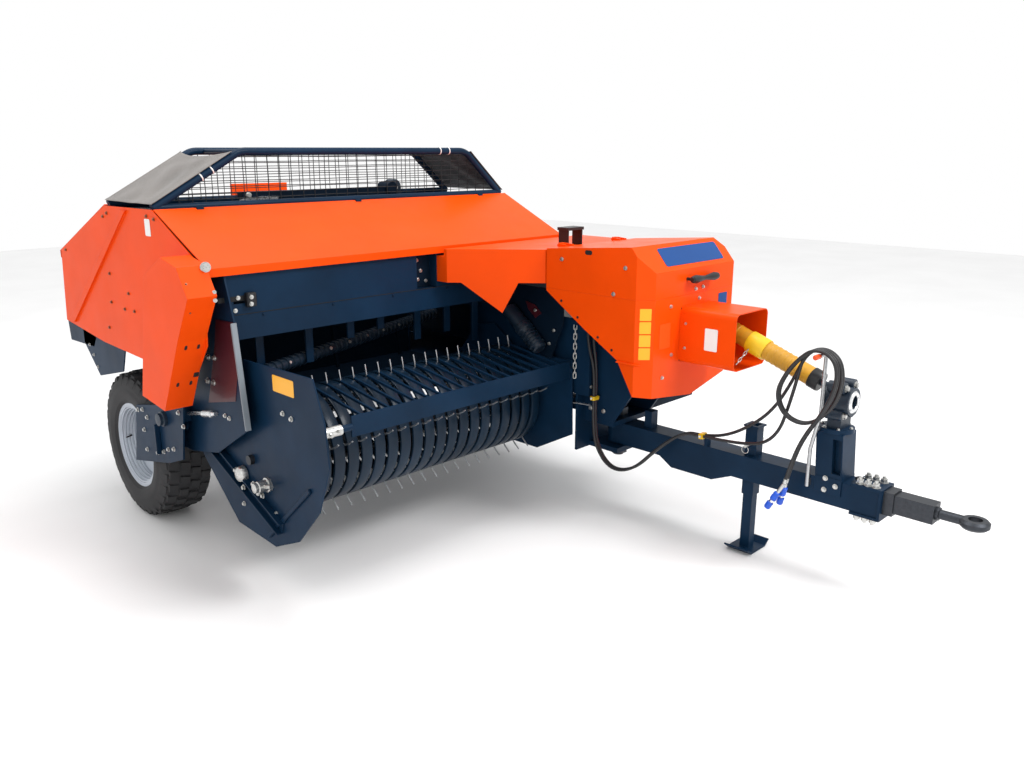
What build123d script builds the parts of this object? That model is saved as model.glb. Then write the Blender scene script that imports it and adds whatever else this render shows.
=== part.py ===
from build123d import *
import math
import os

os.makedirs("parts", exist_ok=True)

# Square baler, in millimetres. The hitch points to -Y, Z is up from the ground,
# and the pickup is on the -X side, which is the machine's right.

# Stock, walls and fits
SHEET = 4
PLATE = 8
SEAT = 0.3
RUN = 0.05
CLEAR = 5

# Bale chamber: inner size and ends
CHAMBER_X = 680
CHAMBER_W = 460
CHAMBER_H = 360
CHAMBER_FLOOR = 600
CHAMBER_WALL = 6
CHAMBER_FRONT = -830
CHAMBER_REAR = 2570
CHAMBER_ROOF_END = 1500
INTAKE_Y0 = 10
INTAKE_Y1 = 550
RIB_D = 30
RIB_T = 8
RIB_PITCH = 420
NEEDLE_Y = 970
NEEDLE_GAP = 230
STAR_Y = 1290
STAR_R = 120

# Frame rails, tongue lugs and gearbox stand
RAIL_W = 60
RAIL_Z0 = 505
STAND_X0 = 500
STAND_X1 = 800
STAND_Y0 = -1120
STAND_TOP = 860
LUG_Y0 = -940
BULKHEAD_Y = -760

# Wheels and axle
AXLE_Y = 700
RIGHT_WHEEL_X = -1030
RIGHT_TYRE_R = 360
RIGHT_TYRE_W = 250
LEFT_WHEEL_X = 1152
LEFT_TYRE_R = 380
LEFT_TYRE_W = 290
RIM_R = 196
RIM_LIP_R = 208
RIM_LIP_T = 6
RIM_INSET = 20
AXLE_BEAM = 90
STUB_R = 30
WHEEL_CLEAR = 30
HUB_R = 62

# Tongue, hitch and jack
TONGUE_X = 650
BEAM_W = 110
BEAM_TOP = 445
BEAM_BOTTOM = 337
BEAM_FRONT = -2194
BELLY_BOTTOM = 294
PIVOT_Y = -862
PIVOT_R = 25
LUG_T = 25
EYE_REACH = 339
EYE_Z = 405
EYE_R = 53
EYE_BORE = 25.5
EYE_T = 34
JACK_Y = -1610
JACK_LEG = 45
JACK_WALL = 5
JACK_TOP = 585
JACK_SLEEVE_BOTTOM = 262
JACK_LEG_TOP = 430
JACK_FOOT_T = 8
HOOK_X = 575
HOOK_Y = -1937
HOOK_Z = 967
HOOK_R = 8
HOOK_REACH = 92

# Hydraulic hoses as (X, Y, Z) points: down from the gearbox to the frame's clip, then along the
# tongue, twice over the hook and down to the couplings
HOSE_R = 7
HOSE_GAP = 16
FRAME_CLIP = (474, -850, 575)
TONGUE_CLIP = (576, -1400, 500)
HOSE_REAR = [(549.7, -850, 1010), (506, -850, 1010), (468, -850, 988), (446, -850, 950), (448, -850, 862),
             (474, -850, 742), FRAME_CLIP]
HOSE_REAR_BESIDE = [(549.7, -826, 1010), (500, -826, 1010), (457, -826, 985), (432, -827, 942),
                    (432, -832, 850), (458, -850, 735), (458, -850, 575)]
HOSE_FRONT = [(474, -850, 574.7), (474, -850, 485), (464, -872, 355), (468, -965, 252), (484, -1090, 278),
              (528, -1190, 400), (568, -1305, 499.5), TONGUE_CLIP, (582, -1505, 522), (578, -1620, 590),
              (570, -1730, 690), (563, -1808, 830), (558, -1856, 946), (558, -1905, 988), (558, -1965, 988),
              (557, -2014, 946), (555, -2026, 850), (550, -1990, 745), (542, -1900, 668), (531, -1805, 695),
              (528, -1765, 785), (526, -1805, 880), (526, -1856, 946), (526, -1905, 988), (526, -1965, 988),
              (524, -2014, 944), (520, -2018, 850), (512, -1975, 740), (504, -1915, 640), (499, -1876, 530),
              (498, -1852, 420)]
LOWER_BRANCH = [(564, -1495, 504), (562, -1600, 514), (556, -1705, 538), (550, -1775, 610), (546, -1808, 720),
                (544, -1835, 835)]

# Drive line
SHAFT_Z = 1015
JOINT_Y = -1380
JOINT_R = 34
GUARD_TILT = 20
GUARD_START = 60
GUARD_END = 545
GUARD_R = 40
GUARD_WALL = 3
TOWER_Y = -1985
TOWER_FLANGE_Z = 660
TOWER_TOP = 856
TOWER_BORE_Z = 772
FLYWHEEL_R = 250
FLYWHEEL_T = 60
FLYWHEEL_Y = -1160
INPUT_R = 24

# Flywheel hood
HOOD_X0 = 270
HOOD_X1 = 940
HOOD_FRONT = -1280
HOOD_REAR = -705
HOOD_TOP = 1352
HOOD_TOP_REAR = 1312
HOOD_SEAM = 1130
HOOD_BEVEL = 60
LID_HINGES = (380, 780)
TUNNEL_X0 = 520
TUNNEL_X1 = 780
TUNNEL_Z0 = 830
TUNNEL_Z1 = 1080
TUNNEL_FRONT = -1560
CRANK_COVER_LOW = 1150
GUARD_LEFT = 60
GUARD_RIGHT = 335
GUARD_POINT = 258
GUARD_DROP = 142
CRANK_COVER_TOP = 1305

# Feeder housing
FEEDER_X0 = -1104
FEEDER_X1 = 802
PANEL_X = -1180
GUARD_X0 = -1300
FEEDER_FRONT = -290
FEEDER_BACK = 560
COVER_TOP_Y = 130
DECK_REAR_Y = 620
DECK_Z = 1500
HINGE_R = 6
HINGE_W = 30
COVER_HINGES = (-1000, -200, 600)
TWINE_HINGES = (-1000, -450)
HEADER_LOW = 1022
HEADER_SEAM = 1122
HEADER_TOP = 1300
TWINE_LOW = 866
TWINE_X1 = -300
TWINE_REAR = 1262
TWINE_EAVE = 1250

# Bale chute
CHUTE_GAP = 10
CHUTE_LENGTH = 908
CHUTE_RIM = 30
CHUTE_PIN_SET = 10
CHUTE_PIN_DROP = 15
CHUTE_PIN_R = 8

# Cage
CAGE_TUBE_R = 17
CAGE_FRONT_Y = 147
CAGE_REAR_Y = 603
CAGE_RISE = 242
CAGE_TOP_X0 = -770
CAGE_TOP_X1 = 540
CAGE_CORNER_R = 110
MESH_WIRE = 4
MESH_PITCH_X = 60
MESH_PITCH_Z = 25

# Pickup
REEL_Y = -320
REEL_Z = 530
TINE_TIP_R = 305
TINE_BAR_R = 190
TINE_BARS = 5
TINE_ROW_START = 96
TINE_COUNT = 20
TINE_PITCH = 68
TINE_X0 = -912
TINE_W = 6
BAND_R = 252
BAND_T = 3
BAND_W = 52
BAND_STEP = 20
PICKUP_X0 = -1063
PICKUP_X1 = 420
PICKUP_PIVOT_Y = 160
PICKUP_PIVOT_Z = 580
PICKUP_PIN_R = 20
REEL_SHAFT_R = 45
REEL_PIN_R = 20


def block(x0, x1, y0, y1, z0, z1):
    return Pos((x0 + x1) / 2, (y0 + y1) / 2, (z0 + z1) / 2) * Box(x1 - x0, y1 - y0, z1 - z0)


def side_plate(points, x0, x1):
    """Sheet drawn in side view as (Y, Z) corners, from x0 to x1."""
    face = make_face(Polyline(*points, close=True))
    return extrude(Plane.YZ.offset(x0) * face, amount=x1 - x0)


def front_plate(points, y0, y1):
    """Sheet drawn in front view as (X, Z) corners, from y0 to y1."""
    face = make_face(Polyline(*points, close=True))
    return extrude(Plane.XZ.offset(-y1) * face, amount=y1 - y0)


def flat_plate(points, z0, z1):
    """Sheet drawn in plan as (X, Y) corners, from z0 to z1."""
    face = make_face(Polyline(*points, close=True))
    return extrude(Plane.XY.offset(z0) * face, amount=z1 - z0)


def rod(start, end, radius):
    axis = Vector(*end) - Vector(*start)
    seat = Plane(origin=start, z_dir=axis)
    return seat * Cylinder(radius, axis.length, align=(Align.CENTER, Align.CENTER, Align.MIN))


def pipe(start, end, radius, wall):
    return rod(start, end, radius) - rod(start, end, radius - wall)


def turned_about_x(profile, x, y, z):
    """Turn an (offset along X, radius) profile about an axis along X."""
    plane = Plane(origin=(x, y, z), x_dir=(1, 0, 0), z_dir=(0, -1, 0))
    face = make_face(Polyline(*profile, close=True))
    return revolve(plane * face, Axis((x, y, z), (1, 0, 0)), 360)


def turned_about_y(profile, x, y, z):
    """Turn an (offset along Y, radius) profile about an axis along Y."""
    plane = Plane(origin=(x, y, z), x_dir=(0, 1, 0), z_dir=(1, 0, 0))
    face = make_face(Polyline(*profile, close=True))
    return revolve(plane * face, Axis((x, y, z), (0, 1, 0)), 360)


def save(shape, name):
    export_step(shape, "parts/" + name + ".step")


chamber_x0 = CHAMBER_X - CHAMBER_W / 2
chamber_x1 = CHAMBER_X + CHAMBER_W / 2
chamber_roof = CHAMBER_FLOOR + CHAMBER_H
chamber_right = chamber_x0 - CHAMBER_WALL
chamber_left = chamber_x1 + CHAMBER_WALL
chamber_under = CHAMBER_FLOOR - CHAMBER_WALL
chamber_top = chamber_roof + CHAMBER_WALL
star_z = chamber_top + 60


def bale_chamber():
    """Open channel with the feed opening on the right and two needle slots."""
    w = CHAMBER_WALL
    shell = block(chamber_right, chamber_left, CHAMBER_FRONT, CHAMBER_REAR, chamber_under, chamber_top)
    shell -= block(chamber_x0, chamber_x1, CHAMBER_FRONT + w, CHAMBER_REAR, CHAMBER_FLOOR, chamber_roof)
    shell -= block(chamber_right, chamber_x0, INTAKE_Y0, INTAKE_Y1, CHAMBER_FLOOR, chamber_roof - 20)
    rail_w = 70
    shell -= block(chamber_x0 + rail_w, chamber_x1 - rail_w, CHAMBER_ROOF_END, CHAMBER_REAR,
                   chamber_roof, chamber_top)
    side_slot = 60
    middle = CHAMBER_FLOOR + CHAMBER_H / 2
    for low, high in ((CHAMBER_FLOOR + side_slot, middle - 30), (middle + 30, chamber_roof - side_slot)):
        shell -= block(chamber_right, chamber_left, CHAMBER_ROOF_END + 120, CHAMBER_REAR - 120, low, high)
    for x in (CHAMBER_X - NEEDLE_GAP / 2, CHAMBER_X + NEEDLE_GAP / 2):
        shell -= block(x - 18, x + 18, NEEDLE_Y - 60, NEEDLE_Y + 200, chamber_under, CHAMBER_FLOOR)
        shell -= block(x - 18, x + 18, NEEDLE_Y - 60, NEEDLE_Y + 100, chamber_roof, chamber_top)
    shell -= block(CHAMBER_X - 12, CHAMBER_X + 12, STAR_Y - 125, STAR_Y + 125, chamber_roof, chamber_top)
    y = FEEDER_BACK + 80
    while y < CHAMBER_REAR:
        for side, out in ((chamber_right - RIB_D, chamber_right), (chamber_left, chamber_left + RIB_D)):
            shell += block(side, out, y, y + RIB_T, chamber_under - RIB_D, chamber_top)
        shell += block(chamber_right, chamber_left, y, y + RIB_T, chamber_under - RIB_D, chamber_under)
        y += RIB_PITCH
    return shell


def star_wheel():
    """Toothed metering wheel on a short shaft above the chamber."""
    teeth = 12
    points = []
    for i in range(teeth):
        for share, radius in ((0, STAR_R), (0.5, STAR_R - 25)):
            a = 2 * math.pi * (i + share) / teeth
            points.append((STAR_Y + radius * math.cos(a), star_z + radius * math.sin(a)))
    wheel = side_plate(points, CHAMBER_X - 4, CHAMBER_X + 4)
    return wheel + rod((CHAMBER_X - 70, STAR_Y, star_z), (CHAMBER_X + 70, STAR_Y, star_z), 12)


def star_bearings():
    bearings = Part()
    for x in (CHAMBER_X - 60, CHAMBER_X + 46):
        post = block(x, x + 14, STAR_Y - 20, STAR_Y + 20, chamber_top, star_z + 24)
        post += block(x - 14, x + 28, STAR_Y - 20, STAR_Y + 20, chamber_top, chamber_top + 8)
        post -= rod((x - 20, STAR_Y, star_z), (x + 40, STAR_Y, star_z), 12 + RUN)
        bearings += post
    return bearings


save(star_wheel(), "star_wheel")


# Main frame: lugs for the tongue, gearbox stand, rails under the chamber, axle beam
rail_top = chamber_under - RIB_D
axle_z = (RIGHT_TYRE_R + LEFT_TYRE_R) / 2
axle_top = axle_z + AXLE_BEAM / 2
axle_low = axle_z - AXLE_BEAM / 2


def main_frame():
    """Bulkhead with the tongue's two lugs, and the rails that run back to the axle."""
    rails = Part()
    for x in (chamber_right + 20, chamber_left - 20 - RAIL_W):
        rails += block(x, x + RAIL_W, BULKHEAD_Y, AXLE_Y + AXLE_BEAM / 2, RAIL_Z0, rail_top)
        rails += block(x, x + RAIL_W, AXLE_Y - AXLE_BEAM / 2, AXLE_Y + AXLE_BEAM / 2, axle_top, RAIL_Z0)
    bulkhead = block(chamber_right, chamber_left, BULKHEAD_Y, BULKHEAD_Y + 12, 305, chamber_under)
    top_lug = block(STAND_X0, STAND_X1, LUG_Y0, BULKHEAD_Y, BEAM_TOP + CLEAR, BEAM_TOP + CLEAR + LUG_T)
    low_lug = block(STAND_X0 + 40, STAND_X1 - 40, LUG_Y0, BULKHEAD_Y, BEAM_BOTTOM - CLEAR - LUG_T,
                    BEAM_BOTTOM - CLEAR)
    frame = rails + bulkhead + top_lug + low_lug
    return frame - rod((TONGUE_X, PIVOT_Y, 250), (TONGUE_X, PIVOT_Y, 600), PIVOT_R)


def gearbox_stand():
    """Stand on the top lug that carries the gearbox, with a cross bar for the hood."""
    base = BEAM_TOP + CLEAR + LUG_T
    stand = Part()
    side = [(LUG_Y0, base), (BULKHEAD_Y, base), (BULKHEAD_Y, chamber_under), (CHAMBER_FRONT, chamber_under),
            (CHAMBER_FRONT, STAND_TOP), (STAND_Y0, STAND_TOP), (STAND_Y0, STAND_TOP - 120)]
    for x in (STAND_X0, STAND_X1 - 12):
        stand += side_plate(side, x, x + 12)
    stand += block(STAND_X0, STAND_X1, STAND_Y0, CHAMBER_FRONT, STAND_TOP - 10, STAND_TOP)
    stand += block(STAND_X0, STAND_X1, CHAMBER_FRONT - 10, CHAMBER_FRONT, chamber_under, STAND_TOP)
    stand += block(HOOD_X0 + SHEET, HOOD_X1 - SHEET, STAND_Y0 + 2, STAND_Y0 + 30, STAND_TOP, STAND_TOP + 40)
    x, y, z = FRAME_CLIP
    stand += block(x + HOSE_R + SEAT, STAND_X0, y - 10, y + 10, z + CLEAR, z + CLEAR + 16)
    return stand


def gearbox():
    """Heavy housing, plain, with the bearing nose that the flywheel turns on."""
    case = block(STAND_X0 + 50, STAND_X1 - 50, STAND_Y0 + 40, CHAMBER_FRONT, STAND_TOP, SHAFT_Z + 150)
    case = fillet(case.edges().filter_by(Axis.Y), 30)
    return case + rod((TONGUE_X, STAND_Y0 + 40, SHAFT_Z), (TONGUE_X, FLYWHEEL_Y - 10, SHAFT_Z), 40)


def flywheel():
    """Rimmed disc with its input shaft, which reaches forward into the drive tunnel."""
    half = FLYWHEEL_T / 2
    profile = [(-half, 40 + RUN), (half, 40 + RUN), (half, 80), (10, 90), (10, FLYWHEEL_R - 50),
               (half, FLYWHEEL_R - 50), (half, FLYWHEEL_R), (-half, FLYWHEEL_R), (-half, FLYWHEEL_R - 50),
               (-10, FLYWHEEL_R - 50), (-10, 90), (-half, 80)]
    disc = turned_about_y(profile, TONGUE_X, FLYWHEEL_Y, SHAFT_Z)
    cap = rod((TONGUE_X, FLYWHEEL_Y - half, SHAFT_Z), (TONGUE_X, FLYWHEEL_Y - half - 20, SHAFT_Z), 80)
    shaft = rod((TONGUE_X, FLYWHEEL_Y - half - 20, SHAFT_Z),
                (TONGUE_X, JOINT_Y + JOINT_R + SEAT, SHAFT_Z), INPUT_R)
    return disc + cap + shaft


def axle():
    """Square beam under the rails, a stub for each wheel and a post up to the twine box."""
    x0 = RIGHT_WHEEL_X + RIGHT_TYRE_W / 2 + WHEEL_CLEAR
    x1 = LEFT_WHEEL_X - LEFT_TYRE_W / 2 - WHEEL_CLEAR
    beam = block(x0, x1, AXLE_Y - AXLE_BEAM / 2, AXLE_Y + AXLE_BEAM / 2, axle_low, axle_top)
    beam += rod((x0, AXLE_Y, RIGHT_TYRE_R), (RIGHT_WHEEL_X - 40, AXLE_Y, RIGHT_TYRE_R), STUB_R)
    beam += rod((x1, AXLE_Y, LEFT_TYRE_R), (LEFT_WHEEL_X + 40, AXLE_Y, LEFT_TYRE_R), STUB_R)
    return beam + block(x0, x0 + 80, AXLE_Y - 40, AXLE_Y + 40, axle_top, TWINE_LOW)


save(main_frame(), "main_frame")
save(gearbox_stand(), "gearbox_stand")
save(gearbox(), "gearbox")
save(flywheel(), "flywheel")
save(axle(), "axle")


def tyre(x, radius, width):
    half = width / 2
    z = radius
    bead = half - RIM_INSET - RIM_LIP_T
    profile = [(-bead, RIM_R), (bead, RIM_R), (bead, RIM_LIP_R), (half, RIM_R + 60), (half, radius - 55),
               (half - 14, radius - 16), (half - 45, radius), (-half + 45, radius), (-half + 14, radius - 16),
               (-half, radius - 55), (-half, RIM_R + 60), (-bead, RIM_LIP_R)]
    return turned_about_x(profile, x, AXLE_Y, z)


def wheel(x, radius, width, out):
    """Rim with a dished disc and hub; out is -1 or 1, the side of the open dish."""
    half = width / 2 - RIM_INSET
    t = RIM_LIP_T
    drop = RIM_R - 28
    barrel = [(-half, RIM_LIP_R), (-half + t, RIM_LIP_R), (-half + t, RIM_R), (-40, drop), (40, drop),
              (half - t, RIM_R), (half - t, RIM_LIP_R), (half, RIM_LIP_R), (half, RIM_R - t), (45, drop - t),
              (-45, drop - t), (-half, RIM_R - t)]
    rim = turned_about_x(barrel, x, AXLE_Y, radius)
    disc = [(30 * out, drop - t), (38 * out, drop - t), (0, 90), (0, STUB_R + RUN), (-30 * out, STUB_R + RUN),
            (-30 * out, HUB_R), (-8 * out, HUB_R), (-8 * out, 92)]
    rim += turned_about_x(disc, x, AXLE_Y, radius)
    hub = [(-30 * out, STUB_R + RUN), (-30 * out, HUB_R), (60 * out, HUB_R - 8), (70 * out, 40), (70 * out, 0),
           (44 * out, 0), (44 * out, STUB_R + RUN)]
    return rim + turned_about_x(hub, x, AXLE_Y, radius)


save(tyre(RIGHT_WHEEL_X, RIGHT_TYRE_R, RIGHT_TYRE_W), "right_tyre")
save(tyre(LEFT_WHEEL_X, LEFT_TYRE_R, LEFT_TYRE_W), "left_tyre")
save(wheel(RIGHT_WHEEL_X, RIGHT_TYRE_R, RIGHT_TYRE_W, -1), "right_wheel")
save(wheel(LEFT_WHEEL_X, LEFT_TYRE_R, LEFT_TYRE_W, 1), "left_wheel")


# Flywheel hood, its lid and the drive tunnel
def hood_form(w):
    """The hood as one solid, w inside its outer faces; w over 0 leaves it open underneath."""
    low = 500
    top = HOOD_TOP - w
    x0 = HOOD_X0 + w
    x1 = HOOD_X1 - w
    y0 = HOOD_FRONT + w
    y1 = HOOD_REAR - w
    bottom = [(x0, low), (x1, low)] if w else [(x0, 705), (630, 660), (900, 722), (x1, 780)]
    under = [(y0, low), (y1, low)] if w else [(y0, 600), (-1130, 855), (-940, 966), (y1, 1118)]
    form = front_plate(bottom + [(x1, 1310 - w / 2), (x1 - 45, top), (x0, top)], y0, y1)
    form &= side_plate(under + [(y1, HOOD_TOP_REAR - w), (-1190, top), (y0, 1245 - w / 2)], x0, x1)
    bevel = HOOD_BEVEL - w * (2 - math.sqrt(2))
    corner = [(x0 - 1, y0 - 1), (x0 + bevel, y0 - 1), (x0 - 1, y0 + bevel)]
    return form - flat_plate(corner, low - 10, top + 10)


shell = hood_form(0) - hood_form(SHEET)
seam_box = block(HOOD_X0 - 50, HOOD_X1 + 50, HOOD_FRONT - 50, HOOD_REAR + 50, HOOD_SEAM, HOOD_TOP + 50)
hood_lower = shell - seam_box
hood_lid = shell & seam_box
lid_pin_y = HOOD_REAR + 16
lid_pin_z = CRANK_COVER_TOP + 12
hood_lid &= block(HOOD_X0 - 50, HOOD_X1 + 50, HOOD_FRONT - 50, HOOD_REAR + 50, HOOD_SEAM + SEAT, HOOD_TOP + 50)
for x in LID_HINGES:
    for side in (x - 14, x + HINGE_W + 2):
        hood_lid += side_plate([(HOOD_REAR - 30, HOOD_TOP_REAR - 3), (HOOD_REAR - 30, HOOD_TOP_REAR + 10),
                                (lid_pin_y, lid_pin_z + 8), (lid_pin_y, lid_pin_z - 6),
                                (HOOD_REAR - 2, HOOD_TOP_REAR - 3)], side, side + 12)
    hood_lid += rod((x - 14, lid_pin_y, lid_pin_z), (x + HINGE_W + 14, lid_pin_y, lid_pin_z), HINGE_R)
tunnel_hole = block(TUNNEL_X0 + SHEET, TUNNEL_X1 - SHEET, HOOD_FRONT - 10, HOOD_FRONT + 20,
                    TUNNEL_Z0 + SHEET, TUNNEL_Z1 - SHEET)


def tunnel():
    """Rounded sheet box round the drive joint, open at both ends."""
    outer = block(TUNNEL_X0, TUNNEL_X1, TUNNEL_FRONT, HOOD_FRONT, TUNNEL_Z0, TUNNEL_Z1)
    outer = fillet(outer.edges().filter_by(Axis.Y), 28)
    inner = block(TUNNEL_X0 + SHEET, TUNNEL_X1 - SHEET, TUNNEL_FRONT, HOOD_FRONT,
                  TUNNEL_Z0 + SHEET, TUNNEL_Z1 - SHEET)
    return outer - fillet(inner.edges().filter_by(Axis.Y), 24)


save(hood_lower - tunnel_hole, "hood")
save(hood_lid, "hood_lid")
save(tunnel(), "drive_tunnel")


def corner_guard(nose, corner):
    """Pointed sheet that carries the crank cover's slanted wall on downward."""
    along = Vector(corner[0] - nose[0], corner[1] - nose[1], 0).normalized()
    wall = Plane(origin=(nose[0], nose[1], 0), x_dir=along, z_dir=(along.Y, -along.X, 0))
    low = CRANK_COVER_LOW + SHEET
    face = make_face(Polyline((GUARD_LEFT, low), (GUARD_RIGHT, low), (GUARD_POINT, CRANK_COVER_LOW - GUARD_DROP),
                              close=True))
    return extrude(wall * face, amount=-SHEET)


def crank_cover():
    """Folded cover over the feeder crank, with lugs for the hood lid; its top clears the cover's lip."""
    t = SHEET
    end = HOOD_X1 - 10
    lip_y = FEEDER_FRONT - 52
    step = CRANK_COVER_TOP - 35
    nose = (-40, -362)
    front = HOOD_REAR + CLEAR
    outer = flat_plate([(-40, FEEDER_FRONT), nose, (HOOD_X0 - 2, front), (end, front),
                        (end, FEEDER_FRONT)], CRANK_COVER_LOW, step)
    outer += flat_plate([(-40, lip_y), nose, (HOOD_X0 - 2, front), (end, front), (end, lip_y)],
                        step, CRANK_COVER_TOP)
    inner = flat_plate([(-40 + t, FEEDER_FRONT + 1), (-40 + t, nose[1] + 2), (HOOD_X0, front + t),
                        (end - t, front + t), (end - t, FEEDER_FRONT + 1)], CRANK_COVER_LOW, step - t)
    inner += flat_plate([(-40 + t, lip_y - t), (-40 + t, nose[1] + 2), (HOOD_X0, front + t),
                         (end - t, front + t), (end - t, lip_y - t)], step - t, CRANK_COVER_TOP - t)
    cover = outer - inner
    for x in LID_HINGES:
        cover += block(x, x + HINGE_W, lid_pin_y - 10, lid_pin_y + 12, step, lid_pin_z + 10)
    cover -= rod((HOOD_X0, lid_pin_y, lid_pin_z), (HOOD_X1, lid_pin_y, lid_pin_z), HINGE_R + RUN)
    return cover + corner_guard(nose, (HOOD_X0 - 2, front))


save(crank_cover(), "crank_cover")


# Feeder housing, panel by panel, stepped round the right wheel
cover_pin_y = COVER_TOP_Y - 12
twine_pin_y = DECK_REAR_Y + 12
hinge_z = DECK_Z + 9
arch_x = RIGHT_WHEEL_X + RIGHT_TYRE_W / 2 + WHEEL_CLEAR
arch_y = AXLE_Y - RIGHT_TYRE_R - WHEEL_CLEAR
arch_z = 2 * RIGHT_TYRE_R + WHEEL_CLEAR


def feeder_floor():
    """Floor sheet, notched at the front corners for the pickup's side plates."""
    y_notch = PICKUP_PIVOT_Y + 75
    x0 = PICKUP_X0 + 6 + 12
    x1 = PICKUP_X1 - 8
    plan = [(x0, INTAKE_Y0 - 8), (x1, INTAKE_Y0 - 8), (x1, y_notch), (chamber_right, y_notch),
            (chamber_right, FEEDER_BACK), (arch_x, FEEDER_BACK), (arch_x, arch_y), (FEEDER_X0, arch_y),
            (FEEDER_X0, y_notch), (x0, y_notch)]
    floor = flat_plate(plan, chamber_under, CHAMBER_FLOOR)
    floor += block(FEEDER_X0, chamber_right, y_notch, y_notch + 50, chamber_under - 60, chamber_under)
    floor += block(arch_x, chamber_right, FEEDER_BACK - 60, FEEDER_BACK, chamber_under - 60, chamber_under)
    lug = side_plate([(y_notch + 40, chamber_under), (y_notch, chamber_under), (y_notch, 612), (130, 612),
                      (125, 555), (160, 540), (y_notch + 40, chamber_under - 50)], PICKUP_X1 + 10, chamber_right - 2)
    pin = rod((PICKUP_X1, PICKUP_PIVOT_Y, PICKUP_PIVOT_Z), (chamber_right, PICKUP_PIVOT_Y, PICKUP_PIVOT_Z),
              PICKUP_PIN_R + RUN)
    return floor + lug - pin


def feeder_back():
    """Rear wall of the feeder, stepped up over the chamber and in round the right wheel."""
    points = [(FEEDER_X0, arch_z), (arch_x, arch_z), (arch_x, CHAMBER_FLOOR), (chamber_right, CHAMBER_FLOOR),
              (chamber_right, chamber_top), (FEEDER_X1, chamber_top), (FEEDER_X1, DECK_Z - 40),
              (FEEDER_X0, DECK_Z - 40)]
    wall = front_plate(points, FEEDER_BACK, FEEDER_BACK + SHEET)
    wall += block(FEEDER_X0, arch_x, arch_y, FEEDER_BACK, arch_z, arch_z + SHEET)
    wall += block(FEEDER_X0, arch_x + SHEET, arch_y - SHEET, arch_y, CHAMBER_FLOOR, arch_z + SHEET)
    return wall + block(arch_x, arch_x + SHEET, arch_y - SHEET, FEEDER_BACK, CHAMBER_FLOOR, arch_z + SHEET)


def feeder_header():
    """Front wall over the intake: box beam below, panel above, recess at the crank end."""
    beam = block(FEEDER_X0, FEEDER_X1, FEEDER_FRONT, FEEDER_FRONT + 70, HEADER_LOW, HEADER_SEAM)
    beam -= block(FEEDER_X0, FEEDER_X1, FEEDER_FRONT + 5, FEEDER_FRONT + 65, HEADER_LOW + 5, HEADER_SEAM - 5)
    panel = block(FEEDER_X0, -160, FEEDER_FRONT, FEEDER_FRONT + SHEET, HEADER_SEAM, HEADER_TOP)
    panel += block(-160, -44, FEEDER_FRONT + 50, FEEDER_FRONT + 50 + SHEET, HEADER_SEAM, HEADER_TOP)
    for x in (-160 - SHEET, -44):
        panel += block(x, x + SHEET, FEEDER_FRONT, FEEDER_FRONT + 54, HEADER_SEAM, HEADER_TOP)
    panel += block(-44, FEEDER_X1, FEEDER_FRONT, FEEDER_FRONT + SHEET, HEADER_SEAM, HEADER_TOP)
    slot = block(-1075, -975, FEEDER_FRONT - 1, FEEDER_FRONT + SHEET + 1, 1165, 1190)
    return beam + panel - slot


def feeder_deck():
    """Two rails along the top that carry the cage, cross ties, packer post and hinge lugs."""
    deck = Part()
    for y in (COVER_TOP_Y, DECK_REAR_Y - 50):
        deck += block(FEEDER_X0, FEEDER_X1, y, y + 50, DECK_Z - 40, DECK_Z)
    for x in (FEEDER_X0, -480, 60, FEEDER_X1 - 50):
        deck += block(x, x + 50, COVER_TOP_Y, DECK_REAR_Y, DECK_Z - 40, DECK_Z)
    middle = (COVER_TOP_Y + DECK_REAR_Y) / 2
    deck += block(-300, -260, COVER_TOP_Y, DECK_REAR_Y, DECK_Z - 40, DECK_Z - 10)
    deck += block(-300, -260, middle - 40, middle + 40, DECK_Z - 40, DECK_Z + 10)
    for x in COVER_HINGES:
        deck += block(x, x + HINGE_W, cover_pin_y - 12, COVER_TOP_Y, DECK_Z - 20, hinge_z + 10)
    for x in TWINE_HINGES:
        deck += block(x, x + HINGE_W, DECK_REAR_Y, twine_pin_y + 12, DECK_Z - 20, hinge_z + 10)
    deck -= rod((FEEDER_X0, cover_pin_y, hinge_z), (FEEDER_X1, cover_pin_y, hinge_z), HINGE_R + RUN)
    return deck - rod((FEEDER_X0, twine_pin_y, hinge_z), (FEEDER_X1, twine_pin_y, hinge_z), HINGE_R + RUN)


def feeder_side():
    """Dark side wall at the open end, with the hole for the pickup's pin."""
    outline = [(-350, 1105), (-402, 685), (-120, 520), (120, 470), (240, 470), (arch_y, 580),
               (arch_y, arch_z), (FEEDER_BACK, arch_z + 60), (FEEDER_BACK, DECK_Z), (COVER_TOP_Y, DECK_Z),
               (FEEDER_FRONT, HEADER_TOP), (-300, 1270)]
    wall = side_plate(outline, FEEDER_X0 - PLATE, FEEDER_X0)
    pin = rod((FEEDER_X0 - 20, PICKUP_PIVOT_Y, PICKUP_PIVOT_Z), (FEEDER_X0 + 5, PICKUP_PIVOT_Y, PICKUP_PIVOT_Z),
              PICKUP_PIN_R + RUN)
    return wall - pin


def feeder_end():
    """Wall at the chamber end, standing on the chamber roof."""
    outline = [(FEEDER_FRONT + 54, chamber_top), (FEEDER_BACK, chamber_top), (FEEDER_BACK, DECK_Z - 40),
               (COVER_TOP_Y, DECK_Z - 40), (FEEDER_FRONT + 70, HEADER_TOP)]
    return side_plate(outline, FEEDER_X1 + SEAT, FEEDER_X1 + SEAT + SHEET)


def wheel_bracket():
    """Outer plate beside the right wheel, on a beam from the feeder's side wall."""
    x1 = RIGHT_WHEEL_X - RIGHT_TYRE_W / 2 - CLEAR
    plate = side_plate([(558, 600), (230, 668), (48, 706), (104, 445), (250, 392), (635, 308)], x1 - PLATE, x1)
    beam = block(x1, FEEDER_X0 - PLATE - SEAT, 110, 190, 610, 690)
    return plate + beam


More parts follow.
